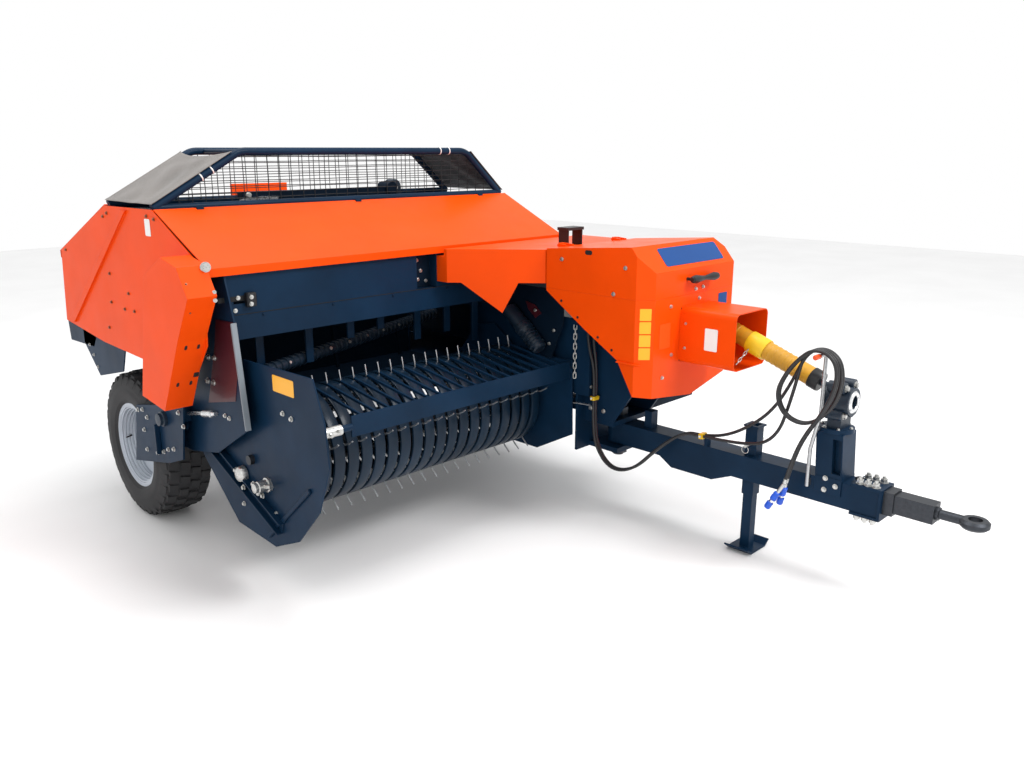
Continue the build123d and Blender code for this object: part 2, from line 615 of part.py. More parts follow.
def twine_box():
    """Open-topped box behind the feeder, closed on top by its sloping lid."""
    outer = [(FEEDER_BACK + SHEET, TWINE_LOW), (TWINE_REAR, TWINE_LOW + 40), (TWINE_REAR, TWINE_EAVE),
             (DECK_REAR_Y, DECK_Z - 8), (FEEDER_BACK + SHEET, DECK_Z - 8)]
    inner = [(FEEDER_BACK + 2 * SHEET, TWINE_LOW + SHEET), (TWINE_REAR - SHEET, TWINE_LOW + 40 + SHEET),
             (TWINE_REAR - SHEET, DECK_Z - 100), (TWINE_REAR - SHEET, DECK_Z + 100),
             (FEEDER_BACK + 2 * SHEET, DECK_Z + 100)]
    box = side_plate(outer, PANEL_X, TWINE_X1)
    box -= side_plate(inner, PANEL_X + SHEET, TWINE_X1 - SHEET)
    box -= block(PANEL_X, FEEDER_X0 + 1, FEEDER_BACK, DECK_REAR_Y + 1, DECK_Z - 41, DECK_Z)
    return box - block(FEEDER_X0, TWINE_X1, FEEDER_BACK, DECK_REAR_Y, DECK_Z - 41, DECK_Z)


def end_panel():
    """Big orange side panel with one pressed diagonal rib."""
    outline = [(FEEDER_FRONT, HEADER_TOP + 9), (COVER_TOP_Y, DECK_Z + 14), (DECK_REAR_Y, DECK_Z + 10),
               (TWINE_REAR - 12, TWINE_EAVE + 17), (TWINE_REAR + 38, TWINE_LOW + 39), (820, TWINE_LOW - 3),
               (-120, 840), (FEEDER_FRONT + 30, 1010)]
    panel = side_plate(outline, PANEL_X - SHEET, PANEL_X)
    rib = side_plate([(375, DECK_Z), (425, DECK_Z), (1215, 930), (1165, 912)], PANEL_X - SHEET - 10, PANEL_X - SHEET)
    return panel + rib


def chain_guard():
    """Orange box over the chains at the open end, open towards the side wall."""
    outline = [(-180, 1358), (-310, 1331), (-380, 1223), (-255, 1036), (-80, 734), (130, 757), (-10, 1273)]
    face = make_face(Polyline(*outline, close=True))
    inner = offset(face, amount=-SHEET)
    box = extrude(Plane.YZ.offset(GUARD_X0) * face, amount=PANEL_X - SHEET - GUARD_X0)
    return box - extrude(Plane.YZ.offset(GUARD_X0 + SHEET) * inner, amount=200)


def sloping_cover():
    """Orange front cover, a bent sheet from the deck down over the header."""
    t = SHEET
    lip = FEEDER_FRONT - 16
    top = hinge_z + 6
    x0 = PANEL_X + 1
    x1 = FEEDER_X1 + 8
    eave = HEADER_TOP + 11
    profile = [(cover_pin_y, top - t), (lip, eave), (lip, eave - 29), (lip - t, eave - 29), (lip - t, eave + 3),
               (cover_pin_y, top)]
    cover = side_plate(profile, x0, x1) + rod((x0, cover_pin_y, hinge_z), (x1, cover_pin_y, hinge_z), HINGE_R)
    for x in COVER_HINGES:
        notch = block(x - 2, x + HINGE_W + 2, cover_pin_y - 16, cover_pin_y + 20, DECK_Z - 20, top + 10)
        cover -= notch - rod((x - 3, cover_pin_y, hinge_z), (x + HINGE_W + 3, cover_pin_y, hinge_z), HINGE_R)
    return cover


def twine_lid():
    """Orange rear cover over the twine box."""
    t = SHEET
    lip = TWINE_REAR + 16
    top = hinge_z + 6
    x0 = PANEL_X + 1
    x1 = TWINE_X1 + 8
    eave = TWINE_EAVE + 8
    profile = [(twine_pin_y, top - t), (lip, eave), (lip, eave - 33), (lip + t, eave - 33), (lip + t, eave + 3),
               (twine_pin_y, top)]
    lid = side_plate(profile, x0, x1) + rod((x0, twine_pin_y, hinge_z), (x1, twine_pin_y, hinge_z), HINGE_R)
    for x in TWINE_HINGES:
        notch = block(x - 2, x + HINGE_W + 2, twine_pin_y - 20, twine_pin_y + 16, DECK_Z - 20, top + 10)
        lid -= notch - rod((x - 3, twine_pin_y, hinge_z), (x + HINGE_W + 3, twine_pin_y, hinge_z), HINGE_R)
    return lid


save(feeder_floor(), "feeder_floor")
save(feeder_back(), "feeder_back")
save(feeder_header(), "feeder_header")
save(feeder_deck(), "feeder_deck")
save(feeder_side(), "feeder_side")
save(feeder_end(), "feeder_end")
save(twine_box(), "twine_box")
save(end_panel(), "end_panel")
save(wheel_bracket(), "wheel_bracket")
save(chain_guard(), "chain_guard")
save(sloping_cover(), "sloping_cover")
save(twine_lid(), "twine_lid")


# Cage over the packers
cage_base_z = DECK_Z + CAGE_TUBE_R + SEAT
cage_top_z = DECK_Z + CAGE_RISE


def cage_arch(y):
    """One bent tube frame in a plane across the machine."""
    x0 = PANEL_X + 10
    x1 = FEEDER_X1 - 10
    corners = [(x0, y, cage_base_z), (CAGE_TOP_X0, y, cage_top_z), (CAGE_TOP_X1, y, cage_top_z),
               (x1, y, cage_base_z)]
    path = FilletPolyline(*corners, radius=CAGE_CORNER_R)
    section = Plane(origin=path @ 0, z_dir=path % 0) * Circle(CAGE_TUBE_R)
    arch = sweep(section, path=path)
    return arch + rod((x0, y, cage_base_z), (x1, y, cage_base_z), CAGE_TUBE_R)


def cage_edge(x):
    """Height of the arch's centre line over x."""
    x0 = PANEL_X + 10
    x1 = FEEDER_X1 - 10
    rise = cage_top_z - cage_base_z
    left = cage_base_z + rise * (x - x0) / (CAGE_TOP_X0 - x0)
    right = cage_base_z + rise * (x1 - x) / (x1 - CAGE_TOP_X1)
    return min(cage_top_z, left, right)


def cage_mesh(y, out):
    """Welded mesh on the inner face of an arch: uprights, then rails behind them."""
    up0 = y if out > 0 else y - MESH_WIRE
    rail0 = y + MESH_WIRE + SEAT if out > 0 else y - 2 * MESH_WIRE - SEAT
    solids = []
    x = PANEL_X + 10 + MESH_PITCH_X
    while x < FEEDER_X1 - 30:
        top = cage_edge(x) - 12
        if top > cage_base_z + 2 * CAGE_TUBE_R:
            solids.append(block(x, x + MESH_WIRE, up0, up0 + MESH_WIRE, cage_base_z, top))
        x += MESH_PITCH_X
    z = cage_base_z + MESH_PITCH_Z
    rise = cage_top_z - cage_base_z
    while z < cage_top_z - 20:
        share = (z - cage_base_z) / rise
        a = PANEL_X + 10 + share * (CAGE_TOP_X0 - PANEL_X - 10)
        b = FEEDER_X1 - 10 - share * (FEEDER_X1 - 10 - CAGE_TOP_X1)
        solids.append(block(a, b, rail0, rail0 + MESH_WIRE, z, z + MESH_WIRE))
        z += MESH_PITCH_Z
    return Compound(solids)


def cage_apron(x_low, x_high):
    """Canvas stretched over one sloping end, from the front arch to the rear one."""
    dx = x_high - x_low
    dz = cage_top_z - cage_base_z
    length = math.hypot(dx, dz)
    lift = CAGE_TUBE_R + SEAT
    nx = -dz / length * (1 if dx > 0 else -1)
    nz = abs(dx) / length
    def over(share, up):
        return (x_low + share * dx + nx * up, cage_base_z + share * dz + nz * up)
    points = [over(0.0, lift), over(0.93, lift), over(0.93, lift + 4), over(0.0, lift + 4)]
    return front_plate(points, CAGE_FRONT_Y - 15, CAGE_REAR_Y + 15)


def cage_ties():
    """Short tubes that hold the two arches apart."""
    ties = Part()
    for x, z in ((CAGE_TOP_X0 + 60, cage_top_z), (CAGE_TOP_X1 - 60, cage_top_z)):
        ties += rod((x, CAGE_FRONT_Y + 10, z), (x, CAGE_REAR_Y - 10, z), 9)
    return ties


arches = cage_arch(CAGE_FRONT_Y) + cage_arch(CAGE_REAR_Y) + cage_ties()
save(arches, "cage_frame")
save(cage_mesh(CAGE_FRONT_Y + CAGE_TUBE_R + SEAT, 1), "cage_mesh_front")
save(cage_mesh(CAGE_REAR_Y - CAGE_TUBE_R - SEAT, -1), "cage_mesh_rear")
save(cage_apron(PANEL_X + 10, CAGE_TOP_X0), "cage_apron_right")
save(cage_apron(FEEDER_X1 - 10, CAGE_TOP_X1), "cage_apron_left")


# Pickup: side plates, stripper bands, wind guard and reel
def reel_bore(x0, x1):
    return rod((x0, REEL_Y, REEL_Z), (x1, REEL_Y, REEL_Z), REEL_PIN_R + RUN)


def pickup_side_outer():
    """Open end's side plate with its pivot pin."""
    outline = [(-200, 900), (-306, 945), (-747, 957), (-805, 957), (-867, 802), (-883, 636), (-800, 440),
               (-640, 270), (-459, 189), (-156, 203), (122, 437), (205, 545), (205, 615), (60, 700)]
    wall = side_plate(outline, PICKUP_X0, PICKUP_X0 + 6)
    wall -= reel_bore(PICKUP_X0 - 5, PICKUP_X0 + 11)
    pin = rod((PICKUP_X0, PICKUP_PIVOT_Y, PICKUP_PIVOT_Z),
              (FEEDER_X0 - PLATE - 12, PICKUP_PIVOT_Y, PICKUP_PIVOT_Z), PICKUP_PIN_R)
    return wall + pin


def pickup_side_inner():
    """Chamber end's side plate with its pivot pin."""
    outline = [(-300, 800), (-352, 765), (-741, 760), (-749, 388), (-513, 262), (-300, 262), (60, 400),
               (205, 545), (205, 615), (60, 700), (-60, 850), (-200, 870)]
    wall = side_plate(outline, PICKUP_X1, PICKUP_X1 + 6)
    wall -= reel_bore(PICKUP_X1 - 5, PICKUP_X1 + 11)
    pin = rod((PICKUP_X1 + 6, PICKUP_PIVOT_Y, PICKUP_PIVOT_Z), (chamber_right, PICKUP_PIVOT_Y, PICKUP_PIVOT_Z),
              PICKUP_PIN_R)
    return wall + pin


def pickup_arm():
    """Channel outside the open end's plate, from the pivot down to the plate's foot."""
    x1 = PICKUP_X0
    arm = side_plate([(120, 600), (140, 545), (-520, 268), (-540, 322)], x1 - 5, x1)
    arm += side_plate([(120, 600), (122, 594), (-538, 316), (-540, 322)], x1 - 28, x1)
    arm += side_plate([(138, 551), (140, 545), (-520, 268), (-522, 274)], x1 - 28, x1)
    return arm


def pickup_strippers():
    """C-shaped bands between the tines, joined by the rear beam and the tail bar."""
    edge = REEL_Y + BAND_R * math.cos(math.radians(60))
    rise = BAND_R * math.sin(math.radians(60))
    beam_y = 10
    beam_z = 410
    tail_y = -12
    slope = math.tan(math.radians(30))
    top_end = REEL_Z + rise - (tail_y - edge) * slope
    low_end = REEL_Z - rise + (beam_y - edge) * slope
    t = BAND_T / math.cos(math.radians(30))
    bands = block(PICKUP_X0 + 6, PICKUP_X1, beam_y, beam_y + 60, beam_z, beam_z + 70)
    bands += block(PICKUP_X0 + 6, PICKUP_X1, tail_y, tail_y + 6, top_end - t - 30, top_end)
    outer = [(tail_y, top_end)]
    inner = [(tail_y, top_end - t)]
    for a in range(60, 301, BAND_STEP):
        turn = math.radians(a)
        outer.append((REEL_Y + BAND_R * math.cos(turn), REEL_Z + BAND_R * math.sin(turn)))
        inner.append((REEL_Y + (BAND_R - BAND_T) * math.cos(turn), REEL_Z + (BAND_R - BAND_T) * math.sin(turn)))
    outer.append((beam_y, low_end))
    inner.append((beam_y, low_end + t))
    for i in range(TINE_COUNT):
        x = TINE_X0 + (i - 0.5) * TINE_PITCH - BAND_W / 2
        bands += side_plate(outer + inner[::-1], x, x + BAND_W)
    return bands


def wind_guard():
    """Flat bar across the front with rods that run back over the reel."""
    bar_y = -738
    bar = block(-860, 410, bar_y, bar_y + 6, 675, 760)
    bar += rod((PICKUP_X0 + 6, bar_y + 3, 717), (-860, bar_y + 3, 717), 14)
    bar += rod((410, bar_y + 3, 717), (PICKUP_X1, bar_y + 3, 717), 14)
    for i in range(2, TINE_COUNT):
        x = TINE_X0 + (i - 0.5) * TINE_PITCH
        bar += side_plate([(bar_y + 6, 748), (-400, 795), (-400, 805), (bar_y + 6, 758)], x - 5, x + 5)
    return bar


def tine_points(angle):
    """One spring tine in side view, bent towards the way it turns."""
    c = math.cos(math.radians(angle))
    s = math.sin(math.radians(angle))
    local = [(TINE_BAR_R, -5), (TINE_TIP_R - 55, -3), (TINE_TIP_R - 3, -18), (TINE_TIP_R, -13),
             (TINE_TIP_R - 53, 4), (TINE_BAR_R, 5)]
    return [(REEL_Y + u * c - v * s, REEL_Z + u * s + v * c) for u, v in local]


def pickup_reel():
    """Shaft, three spiders and the tine bars with their spring tines."""
    x0 = PICKUP_X0 + 55
    x1 = PICKUP_X1 - 18
    reel = rod((x0, REEL_Y, REEL_Z), (x1, REEL_Y, REEL_Z), REEL_SHAFT_R)
    reel += rod((PICKUP_X0 - 20, REEL_Y, REEL_Z), (PICKUP_X1 + 12, REEL_Y, REEL_Z), REEL_PIN_R)
    angles = [TINE_ROW_START + k * 360 / TINE_BARS for k in range(TINE_BARS)]
    for x in (x0, (x0 + x1) / 2, x1 - 6):
        star = []
        for a in angles:
            for shift, radius in ((-9, 212), (9, 212), (36, 75)):
                turn = math.radians(a + shift)
                star.append((REEL_Y + radius * math.cos(turn), REEL_Z + radius * math.sin(turn)))
        reel += side_plate(star, x, x + 6)
    for a in angles:
        y = REEL_Y + TINE_BAR_R * math.cos(math.radians(a))
        z = REEL_Z + TINE_BAR_R * math.sin(math.radians(a))
        reel += Plane.YZ.offset(x0) * Pos(y, z) * extrude(RegularPolygon(14, 6), amount=x1 - x0)
    tines = Part()
    for a in angles:
        for i in range(TINE_COUNT):
            x = TINE_X0 + i * TINE_PITCH - TINE_W / 2
            tines += side_plate(tine_points(a), x, x + TINE_W)
    return reel + tines


save(pickup_side_outer(), "pickup_side_outer")
save(pickup_side_inner(), "pickup_side_inner")
save(pickup_arm(), "pickup_arm")
save(pickup_strippers(), "pickup_strippers")
save(wind_guard(), "wind_guard")
save(pickup_reel(), "pickup_reel")


# Packer, knotters, needles and bale tension
def packer():
    """Long arm under the cage with three forks that reach down to the feeder floor."""
    y = (COVER_TOP_Y + DECK_REAR_Y) / 2
    low = DECK_Z + 10
    foot = CHAMBER_FLOOR + 60
    arm = block(-660, 230, y - 25, y + 25, low, low + 50)
    arm += rod((190, y - 45, low + 45), (190, y + 45, low + 45), 32)
    for x in (-640, -230, 180):
        arm += side_plate([(y - 25, low), (y + 25, low), (y + 5, low - 460), (y - 60, foot), (y - 75, foot),
                           (y - 35, low - 460)], x, x + 16)
    return arm


def knotters():
    """Two twine knotters on their frame across the chamber roof."""
    x0 = chamber_x0 + 20
    x1 = chamber_x1 - 20
    frame = Part()
    outline = [(NEEDLE_Y + 110, chamber_top), (NEEDLE_Y + 110, 1100), (NEEDLE_Y, 1230), (NEEDLE_Y - 80, 1230),
               (NEEDLE_Y - 140, chamber_top)]
    for x in (x0, x1 - 10):
        frame += side_plate(outline, x, x + 10)
    frame += rod((x0 - 40, NEEDLE_Y - 30, 1150), (x1 + 40, NEEDLE_Y - 30, 1150), 18)
    for x in (CHAMBER_X - NEEDLE_GAP / 2, CHAMBER_X + NEEDLE_GAP / 2):
        frame += rod((x - 45, NEEDLE_Y - 30, 1150), (x - 25, NEEDLE_Y - 30, 1150), 105)
        frame += side_plate([(NEEDLE_Y - 70, 1120), (NEEDLE_Y + 10, 1140), (NEEDLE_Y + 90, 1020),
                             (NEEDLE_Y + 60, chamber_top + 10), (NEEDLE_Y - 40, chamber_top + 30)],
                            x - 25, x + 15)
    return frame


def needles():
    """Needle yoke slung under the chamber, with two curved needles."""
    pivot_y = NEEDLE_Y - 90
    pivot_z = CHAMBER_FLOOR + 20
    reach = 272
    side = RIB_D + 18
    low = pivot_z - reach
    yoke = rod((chamber_right - side, pivot_y, low), (chamber_left + side, pivot_y, low), 20)
    for x, inner in ((chamber_right - side, chamber_right), (chamber_left + side - 12, chamber_left)):
        yoke += block(x, x + 12, pivot_y - 30, pivot_y + 30, low, pivot_z + 30)
        start = x + 12 if inner > x else x
        yoke += rod((start, pivot_y, pivot_z), (inner, pivot_y, pivot_z), 22)
    for x in (CHAMBER_X - NEEDLE_GAP / 2 - 7, CHAMBER_X + NEEDLE_GAP / 2 - 7):
        ring = Plane.YZ.offset(x) * Pos(pivot_y, pivot_z) * (Circle(reach + 10) - Circle(reach - 10))
        needle = extrude(ring, amount=14)
        yoke += needle & block(x - 1, x + 15, pivot_y, pivot_y + reach + 20, low - 20, chamber_under - 8)
    return yoke


def tension_frame():
    """Cross bars above and below the chamber's end, drawn together by side screws."""
    y = CHAMBER_REAR - 130
    reach = RIB_D + 14
    bars = block(chamber_right - reach, chamber_left + reach, y, y + 50, chamber_top, chamber_top + 50)
    bars += block(chamber_right - reach, chamber_left + reach, y, y + 50, chamber_under - 80,
                  chamber_under - 30)
    for x in (chamber_right - reach + 10, chamber_left + reach - 10):
        bars += rod((x, y + 25, chamber_under - 95), (x, y + 25, chamber_top + 190), 9)
        bars += rod((x, y + 25, chamber_top + 50), (x, y + 25, chamber_top + 150), 22)
    return bars


save(packer(), "packer")
save(Compound([knotters()] + star_bearings().solids()), "knotters")
save(needles(), "needles")
save(tension_frame(), "tension_frame")


# Bale chute, folded up behind the chamber
chute_y = CHAMBER_REAR + CHUTE_GAP
chute_pin_y = chute_y + CHUTE_PIN_SET
chute_pin_z = CHAMBER_FLOOR - CHUTE_PIN_DROP
chute_foot = CHAMBER_FLOOR + 2
chute_top = CHAMBER_FLOOR + CHUTE_LENGTH


def bale_chute():
    """Orange tray with side flanges, a rounded top and hinge eyes at its foot."""
    x0 = chamber_x0 + 5
    x1 = chamber_x1 - 5
    tray = block(x0, x1, chute_y, chute_y + SHEET, chute_foot, chute_top)
    for x in (x0, x1 - SHEET):
        tray += block(x, x + SHEET, chute_y, chute_y + CHUTE_RIM, chute_foot, chute_top)
    tray += block(x0, x1, chute_y, chute_y + CHUTE_RIM, chute_top - SHEET, chute_top)
    for x in (x0 + 40, x1 - 70):
        eye = block(x, x + 30, chute_y, chute_y + 20, chute_pin_z - 10, chute_foot)
        tray += eye
    return tray + rod((x0 + 10, chute_pin_y, chute_pin_z), (x1 - 10, chute_pin_y, chute_pin_z), CHUTE_PIN_R)


def chute_hinge():
    """Lugs on the chamber's end that carry the chute's pin."""
    x0 = chamber_x0 + 5
    x1 = chamber_x1 - 5
    lugs = Part()
    for x in (x0 + 12, x0 + 76, x1 - 88, x1 - 24):
        lug = side_plate([(CHAMBER_REAR - 40, chamber_under + 1), (CHAMBER_REAR - 40, chamber_under - 30),
                          (chute_pin_y, chute_pin_z - 18), (chute_pin_y + 16, chute_pin_z),
                          (chute_pin_y - 14, chamber_under), (CHAMBER_REAR, chamber_under + 1)], x, x + 12)
        lugs += lug - rod((x - 1, chute_pin_y, chute_pin_z), (x + 13, chute_pin_y, chute_pin_z), CHUTE_PIN_R + RUN)
    return lugs


save(bale_chute(), "bale_chute")
save(bale_chamber() + chute_hinge(), "bale_chamber")


# Tongue with its jack, hitch and drive tower
def tongue():
    """Box beam with a deeper belly, rounded behind its pivot."""
    x0 = TONGUE_X - BEAM_W / 2
    x1 = TONGUE_X + BEAM_W / 2
    outline = [(BEAM_FRONT, BEAM_BOTTOM), (BEAM_FRONT, BEAM_TOP), (PIVOT_Y, BEAM_TOP), (PIVOT_Y, BEAM_BOTTOM),
               (-1150, BEAM_BOTTOM), (-1220, BELLY_BOTTOM), (-1440, BELLY_BOTTOM), (-1540, BEAM_BOTTOM)]
    beam = side_plate(outline, x0, x1)
    beam += rod((TONGUE_X, PIVOT_Y, BEAM_BOTTOM), (TONGUE_X, PIVOT_Y, BEAM_TOP), BEAM_W / 2)
    beam -= block(x0 + PLATE, x1 - PLATE, BEAM_FRONT, -1000, BEAM_BOTTOM + PLATE, BEAM_TOP - PLATE)
    beam -= rod((TONGUE_X, PIVOT_Y, BELLY_BOTTOM), (TONGUE_X, PIVOT_Y, BEAM_TOP + 1), PIVOT_R + RUN)
    half = JACK_LEG / 2 + JACK_WALL + SEAT
    beam -= block(TONGUE_X - half, TONGUE_X + half, JACK_Y - half, JACK_Y + half, 200, 500)
    clip_x, clip_y, clip_z = TONGUE_CLIP
    clip_z -= HOSE_R + SEAT
    beam += block(clip_x - HOSE_GAP - HOSE_R, x0 + 30, clip_y - 8, clip_y + 8, clip_z - 6, clip_z)
    beam += block(x0, x0 + 30, clip_y - 8, clip_y + 8, BEAM_TOP, clip_z - 6)
    return beam + block(TONGUE_X - 25, TONGUE_X + 25, -1075, -1035, BEAM_TOP, 530)


def pivot_pin():
    """Tongue pin with a large nut at each end."""
    top = BEAM_TOP + CLEAR + LUG_T
    low = BEAM_BOTTOM - CLEAR - LUG_T
    pin = rod((TONGUE_X, PIVOT_Y, low - 45), (TONGUE_X, PIVOT_Y, top + 60), PIVOT_R)
    for z in (low - 35, top):
        pin += Pos(TONGUE_X, PIVOT_Y, z) * extrude(RegularPolygon(42, 6), amount=35)
    return pin


def jack_sleeve():
    """Square sleeve welded through the tongue, with a flanged cap and a pin."""
    half = JACK_LEG / 2 + SEAT
    out = half + JACK_WALL
    sleeve = block(TONGUE_X - out, TONGUE_X + out, JACK_Y - out, JACK_Y + out, JACK_SLEEVE_BOTTOM, JACK_TOP)
    cap = out + 8
    sleeve += block(TONGUE_X - cap, TONGUE_X + cap, JACK_Y - cap, JACK_Y + cap, JACK_TOP - 8, JACK_TOP)
    return sleeve - block(TONGUE_X - half, TONGUE_X + half, JACK_Y - half, JACK_Y + half, JACK_SLEEVE_BOTTOM,
                          JACK_TOP)


def jack_leg():
    """Drop leg with its dished foot."""
    half = JACK_LEG / 2
    leg = block(TONGUE_X - half, TONGUE_X + half, JACK_Y - half, JACK_Y + half, JACK_FOOT_T, JACK_LEG_TOP)
    leg -= block(TONGUE_X - half + 5, TONGUE_X + half - 5, JACK_Y - half + 5, JACK_Y + half - 5,
                 JACK_FOOT_T + 10, JACK_LEG_TOP)
    foot = front_plate([(TONGUE_X - 95, 26), (TONGUE_X - 88, 30), (TONGUE_X - 55, JACK_FOOT_T),
                        (TONGUE_X + 55, JACK_FOOT_T), (TONGUE_X + 88, 30), (TONGUE_X + 95, 26),
                        (TONGUE_X + 60, 0), (TONGUE_X - 60, 0)], JACK_Y - 60, JACK_Y + 60)
    return leg + foot


def hitch_bracket():
    """Bolted jaws at the beam's front end, above and below it."""
    x0 = TONGUE_X - 60
    x1 = TONGUE_X + 60
    y0 = BEAM_FRONT - 12
    jaws = block(x0, x1, y0, BEAM_FRONT + 110, BEAM_TOP, BEAM_TOP + 12)
    jaws += block(x0, x1, y0, BEAM_FRONT + 110, BEAM_BOTTOM - 12, BEAM_BOTTOM)
    jaws += block(x0, x1, y0, BEAM_FRONT, BEAM_BOTTOM - 12, BEAM_TOP + 12)
    for y in (BEAM_FRONT + 20, BEAM_FRONT + 52, BEAM_FRONT + 84):
        for x in (x0 + 22, x1 - 22):
            jaws += Pos(x, y, BEAM_TOP + 12) * extrude(RegularPolygon(13, 6), amount=16)
            jaws += Pos(x, y, BEAM_BOTTOM - 28) * extrude(RegularPolygon(13, 6), amount=16)
    return jaws


def hitch_eye():
    """Swivel body, shank and towing eye."""
    y0 = BEAM_FRONT - 12
    eye_y = BEAM_FRONT - EYE_REACH
    body = block(TONGUE_X - 40, TONGUE_X + 40, y0 - 40, y0, EYE_Z - 50, EYE_Z + 45)
    body += block(TONGUE_X - 34, TONGUE_X + 34, y0 - 190, y0 - 40, EYE_Z - 38, EYE_Z + 38)
    eye = rod((TONGUE_X, y0 - 190, EYE_Z), (TONGUE_X, eye_y + EYE_R - 12, EYE_Z), 19)
    ring = rod((TONGUE_X, eye_y, EYE_Z - EYE_T / 2), (TONGUE_X, eye_y, EYE_Z + EYE_T / 2), EYE_R)
    ring = chamfer(ring.edges(), 9)
    bore = rod((TONGUE_X, eye_y, EYE_Z - EYE_T), (TONGUE_X, eye_y, EYE_Z + EYE_T), EYE_BORE)
    return body + eye + ring - bore


tower_y0 = TOWER_Y - 58
tower_y1 = TOWER_Y + 55


def pto_tower():
    """Column on the tongue under the drive shaft's front bearing."""
    x0 = TONGUE_X - 60
    x1 = TONGUE_X + 60
    low = BEAM_TOP
    column = side_plate([(tower_y0, low), (tower_y1, low), (tower_y1 + 12, TOWER_FLANGE_Z - 18),
                         (tower_y0 + 12, TOWER_FLANGE_Z - 18)], x0, x1)
    column -= side_plate([(tower_y0 + 8, low + 30), (tower_y0 + 45, low + 30),
                          (tower_y0 + 52, TOWER_FLANGE_Z - 40), (tower_y0 + 15, TOWER_FLANGE_Z - 40)],
                         x0, x0 + 30)
    for x in (x0 - 2, x1 - 3):
        column += block(x, x + 5, tower_y0, tower_y1, low - 60, low + 10)
    flange = rod((TONGUE_X, TOWER_Y + 10, TOWER_FLANGE_Z - 18), (TONGUE_X, TOWER_Y + 10, TOWER_FLANGE_Z), 70)
    return column + flange


def guard_point(distance):
    """Point on the drive shaft's centre line, measured from its joint in the tunnel."""
    tilt = math.radians(GUARD_TILT)
    return (TONGUE_X, JOINT_Y - distance * math.cos(tilt), SHAFT_Z - distance * math.sin(tilt))


def pto_head():
    """Lobed bearing casting on the tower, with the stub that slides in the guard."""
    y0 = TOWER_Y - 50
    y1 = TOWER_Y + 58
    head = rod((TONGUE_X, y0, TOWER_BORE_Z), (TONGUE_X, y1, TOWER_BORE_Z), 58)
    for dx in (-42, 42):
        for dz in (-52, 60):
            head += rod((TONGUE_X + dx, y0 + 20, TOWER_BORE_Z + dz), (TONGUE_X + dx, y1 - 20, TOWER_BORE_Z + dz), 24)
    head += block(TONGUE_X - 45, TONGUE_X + 45, y0 + 25, y1 - 25, TOWER_FLANGE_Z, TOWER_BORE_Z)
    head -= rod((TONGUE_X, y0 - 1, TOWER_BORE_Z), (TONGUE_X, y0 + 60, TOWER_BORE_Z), 27)
    return head + rod(guard_point(GUARD_END - 45), guard_point(600), 14)


def pto_guard():
    """Yellow plastic tube over the telescoping shaft."""
    tube = pipe(guard_point(GUARD_START), guard_point(GUARD_END), GUARD_R, GUARD_WALL)
    return tube + pipe(guard_point(GUARD_START + 130), guard_point(GUARD_START + 215), GUARD_R + 5, 5)


def pto_joint():
    """Universal joint at the gearbox input, with the shaft's first length."""
    inner = GUARD_R - GUARD_WALL
    x, y, z = guard_point(0)
    joint = rod((x, y, z - JOINT_R), (x, y, z + JOINT_R), JOINT_R)
    joint += rod(guard_point(20), guard_point(GUARD_START + 40), 20)
    return joint + rod(guard_point(GUARD_START + 8), guard_point(GUARD_START + 20), inner)


def hose_hook():
    """Bent steel bar beside the tower that the hoses hang on."""
    foot_x = TONGUE_X - BEAM_W / 2 - HOOK_R
    foot_y = HOOK_Y + 37
    corners = [(foot_x, foot_y, BEAM_TOP - 50), (foot_x, foot_y, BEAM_TOP + 115), (HOOK_X, HOOK_Y, BEAM_TOP + 275),
               (HOOK_X, HOOK_Y, HOOK_Z), (HOOK_X - HOOK_REACH, HOOK_Y, HOOK_Z)]
    path = FilletPolyline(*corners, radius=16)
    return sweep(Plane(origin=corners[0], z_dir=(0, 0, 1)) * Circle(HOOK_R), path=path)


def hose(points):
    """Tube along straight runs joined by arcs, each arc as wide as its shorter run allows."""
    corners = [Vector(*point) for point in points]
    radii = []
    for before, at, after in zip(corners, corners[1:], corners[2:]):
        half_turn = math.radians((at - before).get_angle(after - at)) / 2
        shorter = min((at - before).length, (after - at).length)
        radii.append(0.45 * shorter / math.tan(half_turn))
    print("hose radii", [round(radius) for radius in radii])
    path = FilletPolyline(*points, radius=radii)
    tube = sweep(Plane(origin=corners[0], z_dir=corners[1] - corners[0]) * Circle(HOSE_R), path=path)
    print("hose volume", round(tube.volume), "section by length", round(math.pi * HOSE_R ** 2 * path.length))
    return tube


beside_front = [(x - HOSE_GAP, y, z) for x, y, z in HOSE_FRONT]
branch_from = HOSE_FRONT.index(TONGUE_CLIP) + 1
branch_to = HOSE_FRONT.index((558, -1856, 946))
beside_front[branch_from:branch_to] = LOWER_BRANCH


def hose_couplings():
    """Push-in coupling with its collar on the end of each hose."""
    ends = []
    for route in (HOSE_FRONT, beside_front):
        end = Vector(*route[-1])
        along = (end - Vector(*route[-2])).normalized()
        body = rod(end + along * SEAT, end + along * 78, 6)
        ends.append(body + rod(end + along * 14, end + along * 52, HOSE_GAP / 2 - SEAT))
    return Compound(ends)


save(tongue(), "tongue")
save(pivot_pin(), "pivot_pin")
save(jack_sleeve(), "jack_sleeve")
save(jack_leg(), "jack_leg")
save(hitch_bracket(), "hitch_bracket")
save(hitch_eye(), "hitch_eye")
save(pto_tower(), "pto_tower")
save(pto_head(), "pto_head")
save(pto_guard(), "pto_guard")
save(pto_joint(), "pto_joint")
save(hose_hook(), "hose_hook")
save(Compound([hose(HOSE_REAR), hose(HOSE_REAR_BESIDE)]), "hose_rear")
save(Compound([hose(HOSE_FRONT), hose(beside_front)]), "hose_front")
save(hose_couplings(), "hose_couplings")
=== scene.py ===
import math
import bpy
import bmesh
import numpy as np
from mathutils import Matrix, Vector


